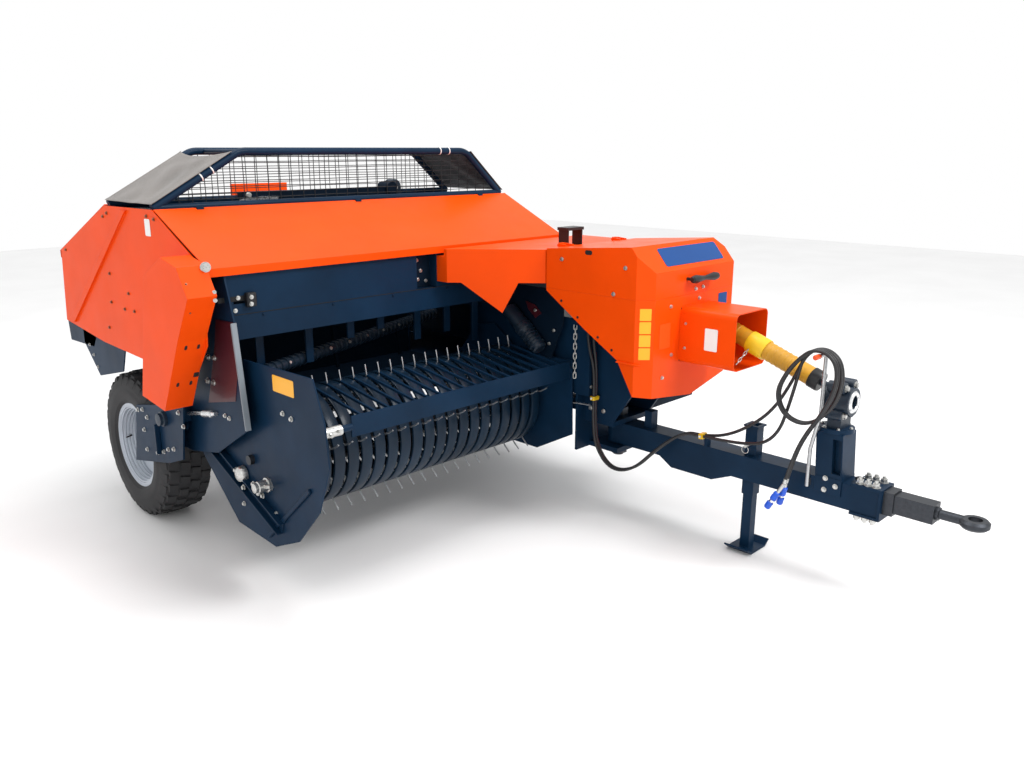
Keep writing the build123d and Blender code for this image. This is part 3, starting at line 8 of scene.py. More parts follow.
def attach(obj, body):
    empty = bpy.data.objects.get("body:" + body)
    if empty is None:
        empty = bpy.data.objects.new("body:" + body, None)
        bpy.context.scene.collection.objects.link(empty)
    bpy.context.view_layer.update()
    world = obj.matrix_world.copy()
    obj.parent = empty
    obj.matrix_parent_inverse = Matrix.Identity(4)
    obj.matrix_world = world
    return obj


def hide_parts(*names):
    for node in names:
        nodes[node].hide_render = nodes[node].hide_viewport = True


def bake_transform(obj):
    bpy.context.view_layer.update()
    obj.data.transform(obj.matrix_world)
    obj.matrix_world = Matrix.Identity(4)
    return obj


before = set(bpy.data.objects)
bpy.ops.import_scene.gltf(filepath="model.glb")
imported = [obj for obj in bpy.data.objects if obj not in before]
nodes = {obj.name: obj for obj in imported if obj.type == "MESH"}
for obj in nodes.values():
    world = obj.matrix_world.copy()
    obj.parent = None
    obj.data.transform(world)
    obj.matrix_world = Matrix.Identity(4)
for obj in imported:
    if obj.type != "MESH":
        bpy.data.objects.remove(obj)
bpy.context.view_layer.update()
rng = np.random.default_rng(7)
scene = bpy.context.scene

# Directions of the machine: the pickup is on its right and the hitch in front
RIGHT = (-1, 0, 0)
LEFT = (1, 0, 0)
FRONT = (0, -1, 0)
REAR = (0, 1, 0)
UP = (0, 0, 1)
DOWN = (0, 0, -1)
# Centre of the tongue, the hood and the drive shaft, across the machine
TONGUE_X = 0.65

# Camera, at the photograph's place
CAMERA_PLACE = (-2.68, -3.43, 1.75)
CAMERA_DIP = 14.81
CAMERA_TURN = -45
camera_data = bpy.data.cameras.new("camera")
camera_data.sensor_width = 36
camera_data.lens = 30.59
camera = bpy.data.objects.new("camera", camera_data)
camera.location = CAMERA_PLACE
camera.rotation_euler = (math.radians(90 - CAMERA_DIP), 0, math.radians(CAMERA_TURN))
scene.collection.objects.link(camera)
scene.camera = camera


# Materials
def new_material(name):
    mat = bpy.data.materials.new(name)
    mat.use_nodes = True
    return mat, mat.node_tree, mat.node_tree.nodes["Principled BSDF"]


def put(node, values):
    for key, value in values.items():
        node.inputs[key].default_value = value


def noise(tree, scale, detail, rough=0.55):
    coord = tree.nodes.new("ShaderNodeTexCoord")
    tex = tree.nodes.new("ShaderNodeTexNoise")
    put(tex, {"Scale": scale, "Detail": detail, "Roughness": rough})
    tree.links.new(coord.outputs["Object"], tex.inputs["Vector"])
    return tex.outputs["Fac"]


def colour_by(tree, shader, value, colour, stops):
    """Base colour that drifts with a value; stops are (value, brightness) pairs."""
    node = tree.nodes.new("ShaderNodeValToRGB")
    elements = node.color_ramp.elements
    elements[0].position = stops[0][0]
    elements[1].position = stops[-1][0]
    for place, _ in stops[1:-1]:
        elements.new(place)
    for element, (_, factor) in zip(elements, stops):
        element.color = (*(min(1.0, c * factor) for c in colour), 1)
    tree.links.new(value, node.inputs["Fac"])
    tree.links.new(node.outputs["Color"], shader.inputs["Base Color"])


def roughen(tree, shader, value, low, high):
    node = tree.nodes.new("ShaderNodeMapRange")
    put(node, {"To Min": low, "To Max": high})
    tree.links.new(value, node.inputs["Value"])
    tree.links.new(node.outputs["Result"], shader.inputs["Roughness"])


def add_bump(tree, shader, height, strength, distance, edge=0.0):
    """Bump from a height; edge is how far the shading rounds sharp edges."""
    node = tree.nodes.new("ShaderNodeBump")
    if edge:
        rounding = tree.nodes.new("ShaderNodeBevel")
        rounding.samples = 4
        put(rounding, {"Radius": edge})
        tree.links.new(rounding.outputs["Normal"], node.inputs["Normal"])
    put(node, {"Strength": strength, "Distance": distance})
    tree.links.new(height, node.inputs["Height"])
    tree.links.new(node.outputs["Normal"], shader.inputs["Normal"])


def paint(name, colour, rough, dust, coat, metallic=0.0, gloss=0.3):
    """Paint with slight colour drift, orange-peel bump and duller patches."""
    mat, tree, shader = new_material(name)
    colour_by(tree, shader, noise(tree, 3.5, 4), colour, [(0.3, 1 - dust), (0.5, 1), (0.72, 1 + dust)])
    roughen(tree, shader, noise(tree, 9, 4), rough - 0.07, rough + 0.12)
    add_bump(tree, shader, noise(tree, 160, 2), 0.05, 0.002, edge=0.003)
    put(shader, {"Metallic": metallic, "Specular IOR Level": gloss, "Coat Weight": coat,
                 "Coat Roughness": 0.12})
    return mat


def bare_metal(name, colour, rough, streak=60):
    """Machined or plated steel with fine scratches."""
    mat, tree, shader = new_material(name)
    fine = noise(tree, streak, 6, 0.7)
    colour_by(tree, shader, fine, colour, [(0.3, 0.75), (0.7, 1.1)])
    roughen(tree, shader, fine, rough - 0.08, rough + 0.2)
    add_bump(tree, shader, fine, 0.08, 0.001)
    put(shader, {"Metallic": 0.9})
    return mat


def dull(name, colour, rough, grain, bump, drift):
    """Rubber, plastic or cast surface with a fine grain."""
    mat, tree, shader = new_material(name)
    colour_by(tree, shader, noise(tree, 6, 4), colour, [(0.3, 1 - drift), (0.7, 1 + drift)])
    fine = noise(tree, grain, 4)
    roughen(tree, shader, fine, rough - 0.08, rough + 0.08)
    add_bump(tree, shader, fine, bump, 0.002)
    return mat


def canvas(name, colour):
    """Coated cloth with a fine weave in two directions."""
    mat, tree, shader = new_material(name)
    coord = tree.nodes.new("ShaderNodeTexCoord")
    weave = tree.nodes.new("ShaderNodeMath")
    weave.operation = "MAXIMUM"
    for i, axis in enumerate("XY"):
        wave = tree.nodes.new("ShaderNodeTexWave")
        wave.bands_direction = axis
        put(wave, {"Scale": 260, "Distortion": 0.4})
        tree.links.new(coord.outputs["Object"], wave.inputs["Vector"])
        tree.links.new(wave.outputs["Fac"], weave.inputs[i])
    colour_by(tree, shader, noise(tree, 5, 5), colour, [(0.3, 0.8), (0.7, 1.25)])
    put(shader, {"Roughness": 0.62, "Sheen Weight": 0.25})
    add_bump(tree, shader, weave.outputs["Value"], 0.25, 0.001)
    return mat


ORANGE = paint("orange_paint", (0.83, 0.068, 0.002), 0.34, 0.05, 0.04, gloss=0.07)
ORANGE_PALE = paint("orange_hatch", (0.88, 0.09, 0.01), 0.35, 0.05, 0.04, gloss=0.08)
NAVY = paint("navy_paint", (0.0045, 0.021, 0.05), 0.38, 0.22, 0.04, gloss=0.09)
# The navy paint darkened: painted shade, for parts inside the chamber and in shaded places
NAVY_SHADED = paint("navy_painted_shade", (0.003, 0.01, 0.022), 0.5, 0.25, 0.02, gloss=0.08)
BAND = paint("band_paint", (0.004, 0.016, 0.034), 0.33, 0.3, 0.06, gloss=0.2)
MAROON = paint("maroon_patch", (0.055, 0.006, 0.012), 0.4, 0.15, 0.2)
SILVER = paint("silver_paint", (0.44, 0.48, 0.54), 0.34, 0.08, 0.1, 0.5)
BLACK = paint("black_paint", (0.012, 0.012, 0.014), 0.4, 0.2, 0.1)
# Pale grey: painted highlight along the edge of a navy flange
FLANGE_HIGHLIGHT = paint("painted_edge_highlight", (0.22, 0.25, 0.28), 0.4, 0.15, 0.2)
PLATE_BLUE = paint("plate_blue", (0.01, 0.06, 0.22), 0.3, 0.04, 0.1, gloss=0.1)
PLATE_AMBER = paint("plate_amber", (0.9, 0.42, 0.01), 0.35, 0.04, 0.4)
PLATE_WHITE = paint("plate_white", (0.82, 0.82, 0.8), 0.35, 0.03, 0.4)
STEEL = bare_metal("bright_steel", (0.55, 0.56, 0.57), 0.28)
ZINC = bare_metal("zinc_bolts", (0.62, 0.62, 0.6), 0.24, 90)
DULL_ZINC = bare_metal("painted_bolts", (0.32, 0.15, 0.09), 0.45, 90)
BRIGHT = bare_metal("polished_steel", (0.8, 0.81, 0.82), 0.16, 50)
OILED = bare_metal("dark_steel", (0.06, 0.065, 0.075), 0.4)
TINE = bare_metal("tine_wire", (0.62, 0.63, 0.65), 0.26, 120)
TYRE = dull("tyre_rubber", (0.022, 0.022, 0.024), 0.75, 260, 0.35, 0.25)
HOSE = dull("hose_rubber", (0.014, 0.014, 0.016), 0.45, 500, 0.25, 0.2)
HOSE_STRIPE = dull("hose_stripe", (0.3, 0.02, 0.035), 0.5, 300, 0.1, 0.2)
CAST = dull("cast_paint", (0.006, 0.018, 0.036), 0.45, 120, 0.3, 0.25)
# Near black: painted shade in slots and holes, and the dark line of the header's seam
HOLE_SHADE_AND_SEAM = dull("hole_shade_and_seam", (0.004, 0.004, 0.005), 0.8, 200, 0.05, 0.1)
YELLOW = dull("guard_plastic", (0.55, 0.27, 0.012), 0.42, 90, 0.1, 0.25)
BRIGHT_YELLOW = dull("yellow_plastic", (0.8, 0.5, 0.01), 0.4, 90, 0.1, 0.15)
BLUE = dull("blue_plastic", (0.01, 0.09, 0.62), 0.32, 80, 0.08, 0.2)
CAP_RED = dull("cap_plastic", (0.8, 0.08, 0.01), 0.35, 90, 0.08, 0.1)
CANVAS = canvas("grey_canvas", (0.11, 0.095, 0.084))
# Canvas painted near black: painted shade on the left apron, which is seen from inside
CANVAS_SHADED = canvas("canvas_painted_shade", (0.02, 0.022, 0.028))

# The solids' own materials
finish_of = {
    ORANGE: ["bale_chute", "chain_guard", "crank_cover", "drive_tunnel", "end_panel", "hood", "hood_lid",
             "sloping_cover", "twine_lid"],
    NAVY: ["axle", "bale_chamber", "cage_frame", "feeder_deck", "feeder_end", "feeder_header", "feeder_side",
           "gearbox_stand", "hitch_bracket", "jack_leg", "jack_sleeve", "main_frame", "pickup_arm",
           "pickup_side_inner", "pickup_side_outer", "pto_tower", "tension_frame", "tongue", "twine_box",
           "wheel_bracket", "wind_guard"],
    # The feeder's back and floor, the strippers and the packer take the navy with painted shade
    NAVY_SHADED: ["feeder_back", "feeder_floor", "pickup_strippers", "packer"],
    SILVER: ["right_wheel", "left_wheel"],
    BLACK: ["cage_mesh_front", "cage_mesh_rear"],
    STEEL: ["hose_hook", "star_wheel", "needles", "knotters"],
    OILED: ["pto_joint", "pivot_pin", "hitch_eye", "pickup_reel"],
    CAST: ["flywheel", "gearbox", "pto_head"],
    YELLOW: ["pto_guard"],
    TYRE: ["right_tyre", "left_tyre"],
    CANVAS: ["cage_apron_right"],
    # The left apron's canvas carries painted shade
    CANVAS_SHADED: ["cage_apron_left"],
    HOSE: ["hose_rear", "hose_front"],
    BLUE: ["hose_couplings"],
}
for material, names in finish_of.items():
    for name in names:
        mesh = nodes[name].data
        mesh.materials.clear()
        mesh.materials.append(material)


# Mesh helpers
# How far thin plates stand off their face, and how thick a plate of painted shade is that stands for a hole
PLATE_GAP = 0.0002
HOLE_T = 0.0008


def make(name, bm, material, body, smooth_by=None):
    """Object from a mesh, riding on a body, or on none where body is None."""
    mesh = bpy.data.meshes.new(name)
    bm.to_mesh(mesh)
    bm.free()
    mesh.materials.append(material)
    if smooth_by:
        mesh.shade_smooth()
        mesh.set_sharp_from_angle(angle=math.radians(smooth_by))
    obj = bpy.data.objects.new(name, mesh)
    scene.collection.objects.link(obj)
    if body:
        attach(obj, body)
    return obj


def frame_matrix(place, normal, up=UP):
    """Matrix with local z along normal, at place."""
    z = Vector(normal).normalized()
    x = Vector(up).cross(z)
    if x.length < 1e-6:
        x = Vector(LEFT)
    x.normalize()
    m = Matrix((x, z.cross(x), z)).transposed().to_4x4()
    m.translation = Vector(place)
    return m


def polar(radius, angle):
    return radius * math.cos(angle), radius * math.sin(angle)


def ring_points(radius, count, turn=0.0):
    return [polar(radius, turn + math.tau * i / count) for i in range(count)]


def bridge(bm, low, high, stripe=0):
    """Faces from one ring of vertices to the next; the first of them is of the stripe's material."""
    for i in range(len(low)):
        j = (i + 1) % len(low)
        face = bm.faces.new((low[i], low[j], high[j], high[i]))
        if i == 0:
            face.material_index = stripe


def skin(bm, rings, close=False, stripe=0):
    """Faces over a row of rings, which ends in a face at each end or leads back to the first ring."""
    for low, high in zip(rings, rings[1:]):
        bridge(bm, low, high, stripe)
    if close:
        bridge(bm, rings[-1], rings[0])
    else:
        bm.faces.new(rings[0][::-1])
        bm.faces.new(rings[-1])


def add_prism(bm, m, points, z0, z1):
    """Closed prism of (x, y) points in the frame m, from z0 to z1."""
    skin(bm, [[bm.verts.new(m @ Vector((x, y, z))) for x, y in points] for z in (z0, z1)])


def add_side_plate(bm, outline, x0, x1):
    """Plate drawn in side view as (Y, Z) corners, from x0 to x1."""
    low, high = ([bm.verts.new((x, y, z)) for y, z in outline] for x in (x0, x1))
    skin(bm, [high, low])


def add_lathe(bm, m, profile, count=32, close=False):
    """Turn (height, radius) pairs about local z of m."""
    rings = [[bm.verts.new(m @ Vector((x, y, h))) for x, y in ring_points(r, count)] for h, r in profile]
    skin(bm, rings, close)


def fix_normals(bm):
    bmesh.ops.recalc_face_normals(bm, faces=bm.faces)


def break_edges(bm, width, segments=2):
    bmesh.ops.bevel(bm, geom=bm.edges[:], offset=width, segments=segments, affect="EDGES")


def add_bolt(bm, place, normal, size):
    """Washer and hex head, with the head's corners broken; size is across the washer."""
    m = frame_matrix(place, normal)
    add_lathe(bm, m, [(0, size / 2), (size * 0.1, size / 2)], 14)
    add_prism(bm, m, ring_points(size * 0.38, 6, 0.3), size * 0.1, size * 0.38)
    add_prism(bm, m, ring_points(size * 0.31, 6, 0.3), size * 0.38, size * 0.44)


def bolts(name, body, normal, places, size=0.016, material=ZINC):
    """Bolts that face one way, in one piece."""
    bm = bmesh.new()
    for place in places:
        add_bolt(bm, place, normal, size)
    return make(name, bm, material, body)


def at_x(x, spots):
    return [(x, y, z) for y, z in spots]


def at_y(y, spots):
    return [(x, y, z) for x, z in spots]


def rounded(w, h, r):
    """Outline of a rectangle with rounded corners."""
    points = []
    for k, (sx, sy) in enumerate(((1, 1), (-1, 1), (-1, -1), (1, -1))):
        for i in range(5):
            dx, dy = polar(r, math.radians(90 * k + 22.5 * i))
            points.append((sx * (w / 2 - r) + dx, sy * (h / 2 - r) + dy))
    return points


def prism(name, body, place, normal, outline, z0, z1, material):
    bm = bmesh.new()
    add_prism(bm, frame_matrix(place, normal), outline, z0, z1)
    return make(name, bm, material, body)


def plate(name, body, place, normal, w, h, material, t=0.0012, r=0.006):
    """Thin blank plate with rounded corners, lying on a face."""
    return prism(name, body, place, normal, rounded(w, h, r), PLATE_GAP, t, material)


def blocks(name, body, spans, material, edge=0.0, segments=2):
    """Boxes given as (x0, x1, y0, y1, z0, z1), in one piece; edge is how far their edges are broken."""
    bm = bmesh.new()
    for x0, x1, y0, y1, z0, z1 in spans:
        add_prism(bm, Matrix.Identity(4), [(x0, y0), (x1, y0), (x1, y1), (x0, y1)], z0, z1)
    if edge:
        break_edges(bm, edge, segments)
    return make(name, bm, material, body)


def turned(name, body, place, normal, profile, material, count=32):
    bm = bmesh.new()
    add_lathe(bm, frame_matrix(place, normal), profile, count)
    return make(name, bm, material, body, smooth_by=35)


def collars(name, body, frames, profile, material, count, smooth_by=35):
    """Hollow rings, one round the local z of each frame."""
    bm = bmesh.new()
    for m in frames:
        add_lathe(bm, m, profile, count, close=True)
    return make(name, bm, material, body, smooth_by)


def side_sheet(name, body, outline, x0, x1, material, edge):
    """Sheet drawn in side view, with its edges broken."""
    bm = bmesh.new()
    add_side_plate(bm, outline, x0, x1)
    fix_normals(bm)
    break_edges(bm, edge)
    return make(name, bm, material, body)


# Sweeps: hoses, wires, springs and tines follow a line of points
def add_tube(bm, path, radius, count, stripe=0):
    """Round tube along the points, closed at both ends; stripe is the material of one strip of it."""
    path = [Vector(p) for p in path]
    rings = []
    for i, place in enumerate(path):
        along = (path[min(i + 1, len(path) - 1)] - path[max(i - 1, 0)]).normalized()
        if i == 0:
            side = along.orthogonal().normalized()
        side = (side - along * side.dot(along)).normalized()
        other = along.cross(side)
        rings.append([bm.verts.new(place + side * x + other * y) for x, y in ring_points(radius, count)])
    skin(bm, rings, stripe=stripe)


def rods(name, body, lines, radius, material, count=12):
    """Bars along lists of points, in one piece."""
    bm = bmesh.new()
    for line in lines:
        add_tube(bm, line, radius, count)
    return make(name, bm, material, body, smooth_by=40)


def helix(start, end, radius, turns, steps):
    """Points of a coil round the line from start to end."""
    along = end - start
    side = along.orthogonal().normalized()
    other = along.normalized().cross(side)
    total = int(turns * steps)
    points = []
    for k in range(total + 1):
        x, y = polar(radius, math.tau * k / steps)
        points.append(start + along * (k / total) + side * x + other * y)
    return points


def chain(name, body, start, end, pitch, wire):
    """Welded chain of long links, each turned a quarter from the last."""
    start = Vector(start)
    end = Vector(end)
    along = (end - start).normalized()
    count = max(2, int((end - start).length / pitch))
    one = along.orthogonal().normalized()
    two = along.cross(one)
    bm = bmesh.new()
    for k in range(count):
        centre = start.lerp(end, (k + 0.5) / count)
        side = one if k % 2 else two
        loop = []
        for x, y in ring_points(1, 16) + [(1, 0)]:
            shift = math.copysign(0.36, x) if abs(x) > 0.01 else 0
            loop.append(centre + along * (pitch * (shift + 0.3 * x)) + side * (pitch * 0.3 * y))
        add_tube(bm, loop, wire, 8)
    return make(name, bm, ZINC, body, smooth_by=60)


# Hydraulic hoses: the points lead from the gearbox to the frame's clip and along the tongue,
# twice over the hook, down to the couplings
HOSE_R = 0.007
HOSE_GAP = 0.016
FRAME_CLIP = (0.474, -0.85, 0.575)
TONGUE_CLIP = (0.576, -1.4, 0.5)
OVER_THE_HOOK = (0.558, -1.856, 0.946)
HOSE_REAR = [
    (0.5497, -0.85, 1.01), (0.506, -0.85, 1.01), (0.468, -0.85, 0.988), (0.446, -0.85, 0.95),
    (0.448, -0.85, 0.862), (0.474, -0.85, 0.742), FRAME_CLIP]
HOSE_REAR_BESIDE = [
    (0.5497, -0.826, 1.01), (0.5, -0.826, 1.01), (0.457, -0.826, 0.985), (0.432, -0.827, 0.942),
    (0.432, -0.832, 0.85), (0.458, -0.85, 0.735), (0.458, -0.85, 0.575)]
HOSE_FRONT = [
    (0.474, -0.85, 0.485), (0.464, -0.872, 0.355), (0.468, -0.965, 0.252), (0.484, -1.09, 0.278),
    (0.528, -1.19, 0.4), (0.568, -1.305, 0.4995), TONGUE_CLIP, (0.582, -1.505, 0.522),
    (0.578, -1.62, 0.59), (0.57, -1.73, 0.69), (0.563, -1.808, 0.83), OVER_THE_HOOK,
    (0.558, -1.905, 0.988), (0.558, -1.965, 0.988), (0.557, -2.014, 0.946), (0.555, -2.026, 0.85),
    (0.55, -1.99, 0.745), (0.542, -1.9, 0.668), (0.531, -1.805, 0.695), (0.528, -1.765, 0.785),
    (0.526, -1.805, 0.88), (0.526, -1.856, 0.946), (0.526, -1.905, 0.988), (0.526, -1.965, 0.988),
    (0.524, -2.014, 0.944), (0.52, -2.018, 0.85), (0.512, -1.975, 0.74), (0.504, -1.915, 0.64),
    (0.499, -1.876, 0.53), (0.498, -1.852, 0.42)]
LOWER_BRANCH = [
    (0.564, -1.495, 0.504), (0.562, -1.6, 0.514), (0.556, -1.705, 0.538), (0.55, -1.775, 0.61),
    (0.546, -1.808, 0.72), (0.544, -1.835, 0.835)]
beside = [(x - HOSE_GAP, y, z) for x, y, z in HOSE_FRONT]
beside[HOSE_FRONT.index(TONGUE_CLIP) + 1:HOSE_FRONT.index(OVER_THE_HOOK)] = LOWER_BRANCH


def spline_path(points):
    """Points along the smooth curve that has these control points."""
    data = bpy.data.curves.new("route", "CURVE")
    data.dimensions = "3D"
    spline = data.splines.new("NURBS")
    spline.points.add(len(points) - 1)
    for point, place in zip(spline.points, points):
        point.co = (*place, 1)
    spline.order_u = 3
    spline.use_endpoint_u = True
    spline.resolution_u = 8
    route = bpy.data.objects.new("route", data)
    mesh = bpy.data.meshes.new_from_object(route)
    path = [v.co.copy() for v in mesh.vertices]
    bpy.data.objects.remove(route)
    bpy.data.meshes.remove(mesh)
    bpy.data.curves.remove(data)
    return path


def hose(name, points, splay, shank):
    """One hose with its fitting at the gearbox and its coupling.

    splay is how the coupling hangs aside, and shank the bare steel above its blue sleeve."""
    path = spline_path(points)
    bm = bmesh.new()
    add_tube(bm, path, HOSE_R, 14, stripe=1)
    tube = make(name, bm, HOSE, None, smooth_by=60)
    tube.data.materials.append(HOSE_STRIPE)
    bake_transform(tube)
    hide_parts("hose_rear", "hose_front")
    fitting = turned(name + "_fitting", "baler", points[0], RIGHT,
                     [(0.0, 0.0118), (0.01, 0.0118), (0.0105, 0.0092), (0.02, 0.0092), (0.024, 0.0086)],
                     ZINC, 24)
    end = Vector(points[-1])
    along = (end - Vector(points[-2])).normalized()
    ferrule = turned(name + "_ferrule", "tongue", end - along * 0.022, along,
                     [(0.0, 0.0073), (0.002, 0.0078), (0.02, 0.0078), (0.0215, 0.0062), (0.026, 0.0062)],
                     ZINC, 20)
    down = (along + Vector(splay)).normalized()
    for part, distance, profile, material, count in (
            ("_neck", 0.0045, [(0.0, 0.0062), (0.003, 0.0076), (shank - 0.0048, 0.0076)], ZINC, 24),
            ("_coupling", shank, [(0.0, 0.0095), (0.003, 0.013), (0.012, 0.014), (0.014, 0.0128),
                                  (0.018, 0.0128), (0.02, 0.014), (0.036, 0.014), (0.04, 0.012)], BLUE, 28),
            ("_nose", shank + 0.0403, [(0.0, 0.0092), (0.008, 0.0092), (0.009, 0.0078), (0.0115, 0.0078)],
             BRIGHT, 24),
            ("_cap", shank + 0.052, [(0.0, 0.0125), (0.002, 0.0142), (0.026, 0.0136), (0.031, 0.011),
                                     (0.033, 0.006)], BLUE, 28)):
        piece = turned(name + part, "tongue", end + down * distance, down, profile, material, count)
        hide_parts("hose_couplings")


hose("hose_upper", HOSE_REAR + HOSE_FRONT, (0.02, 0.02, 0), 0.02)
hose("hose_lower", HOSE_REAR_BESIDE + beside, (-0.26, 0.26, 0), 0.046)


def hose_clip(name, body, clip, rise, turn):
    """Yellow plastic clamp block round both hoses, with its bolt; turn lays it level or upright."""
    x, y, z = clip[0] - HOSE_GAP / 2, clip[1], clip[2] + rise
    prism(name, body, (x, y, z), turn, rounded(0.044, 0.026, 0.007), -0.009, 0.009, BRIGHT_YELLOW)
    bolts(name + "_bolt", body, (-1, -0.3, 0), [(x - 0.026, y, z + 0.002)], 0.012)


hose_clip("frame_clip", "baler", FRAME_CLIP, 0.013, UP)
hose_clip("tongue_clip", "tongue", TONGUE_CLIP, 0.001, (0, -1, 0.1))

# Tyres with their tread
WHEEL_Y = 0.7
# Corners of the blocks: round the tyre and across it, and on the shoulders round it, below the
# crown and in from the side
TREAD_CORNERS = ((-1, -0.5), (0.6, -0.5), (1, 0.5), (-0.6, 0.5))
SHOULDER_CORNERS = ((-1, 0.02, 0.022), (1, 0.02, 0.022), (1, 0.06, 0.01), (-1, 0.06, 0.01))


def tyre(node, body, x, radius, width, count):
    """Carcass turned from a bead-to-bead profile, with rows of staggered blocks round it."""
    half = width / 2
    pitch = math.tau / count
    span = 0.34 * pitch
    block = 0.19 * width
    row_step = 0.205 * width
    m = frame_matrix((x, WHEEL_Y, radius), LEFT)
    bm = bmesh.new()
    side = [(half - 0.026, 0.196), (half - 0.02, 0.208), (half - 0.006, 0.222), (half, 0.25),
            (half, radius - 0.085), (half - 0.004, radius - 0.078), (half - 0.004, radius - 0.062),
            (half - 0.012, radius - 0.035), (half - 0.026, radius - 0.018), (half - 0.055, radius - 0.011)]
    add_lathe(bm, m, [(-h, r) for h, r in side] + side[::-1], 96, close=True)
    lugs = []
    for k in range(count):
        for row, shift in ((-1.5, 0.0), (-0.5, 0.5), (0.5, 0.0), (1.5, 0.5)):
            turn = pitch * (k + shift)
            centre = row_step * row
            top = radius - (0.006 if abs(row) > 1 else 0.0)
            lugs.append([[(top - depth, turn + a * u * span, centre + b * v * block)
                          for u, v in TREAD_CORNERS] for depth, a, b in ((0.015, 1, 1), (0, 0.9, 0.92))])
        for sign in (-1, 1):
            lugs.append([[(radius - deep, pitch * (k + 0.25 + 0.3 * u), sign * (half - inset + rise))
                          for u, deep, inset in SHOULDER_CORNERS] for rise in (-0.008, 0.006)])
    for lug in lugs:
        low, high = ([bm.verts.new(m @ Vector((*polar(r, turn), h))) for r, turn, h in ring] for ring in lug)
        bm.faces.new(high)
        bridge(bm, low, high)
    fix_normals(bm)
    obj = make(node + "_tread", bm, TYRE, body, smooth_by=30)
    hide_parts(node)


tyre("right_tyre", "right_wheel", -1.03, 0.36, 0.25, 30)
tyre("left_tyre", "left_wheel", 1.152, 0.38, 0.29, 32)

# Cage: round wire mesh, cable ties and the canvas aprons
CAGE_BASE = 1.517
CAGE_TOP = 1.742
CAGE_RISE = CAGE_TOP - CAGE_BASE
CAGE_FOOT = (-1.17, 0.792)
CAGE_SHOULDER = (-0.77, 0.54)
WIRE_R = 0.0019


def cage_height(x):
    """Height of the arch's centre line over x."""
    slopes = [CAGE_BASE + CAGE_RISE * (x - foot) / (shoulder - foot)
              for foot, shoulder in zip(CAGE_FOOT, CAGE_SHOULDER)]
    return min(CAGE_TOP, *slopes)


def cage_mesh(name, node, y, back):
    """Welded wires: uprights every 60 mm and slightly sprung rails every 25 mm, tied by their ends."""
    bm = bmesh.new()
    x = CAGE_FOOT[0] + 0.062
    while x < CAGE_FOOT[1] - 0.03:
        top = cage_height(x) - 0.012
        if top > CAGE_BASE + 0.034:
            lean = rng.uniform(-0.002, 0.002)
            add_tube(bm, [(x, y, CAGE_BASE), (x + lean, y, (top + CAGE_BASE) / 2), (x, y, top)], WIRE_R, 6)
        x += 0.06
    z = CAGE_BASE + 0.027
    while z < CAGE_TOP - 0.018:
        share = (z - CAGE_BASE) / CAGE_RISE
        a, b = (foot + share * (shoulder - foot) for foot, shoulder in zip(CAGE_FOOT, CAGE_SHOULDER))
        steps = 26
        phase = rng.uniform(0, 6)
        line = []
        for k in range(steps + 1):
            s = k / steps
            sag = 0.0016 * math.sin(phase + 11 * s) * math.sin(math.pi * s)
            line.append((a + (b - a) * s, y + 0.0042 * back, z + sag))
        add_tube(bm, line, WIRE_R, 6)
        z += 0.025
    wires = make(name, bm, BLACK, "baler", smooth_by=60)
    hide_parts(node)


cage_mesh("cage_wires_front", "cage_mesh_front", 0.1663, 1)
cage_mesh("cage_wires_rear", "cage_mesh_rear", 0.5837, -1)

tilt = (CAGE_SHOULDER[0] - CAGE_FOOT[0], 0, CAGE_RISE)
ties = [(-0.955, 0.147, tilt), (-0.905, 0.147, tilt), (-0.93, 0.603, tilt), (-0.87, 0.603, tilt),
        (-0.82, 0.603, tilt), (0.36, 0.147, LEFT), (0.42, 0.147, LEFT)]
collars("cable_ties", "baler", [frame_matrix((x, y, cage_height(x)), along, REAR) for x, y, along in ties],
        [(-0.003, 0.0176), (-0.003, 0.0188), (0.003, 0.0188), (0.003, 0.0176)], PLATE_WHITE, 24, 40)

APRON_Y = (0.132, 0.618)
APRON_END = 0.93
APRON_LIFT = 0.0182
CANVAS_T = 0.0014


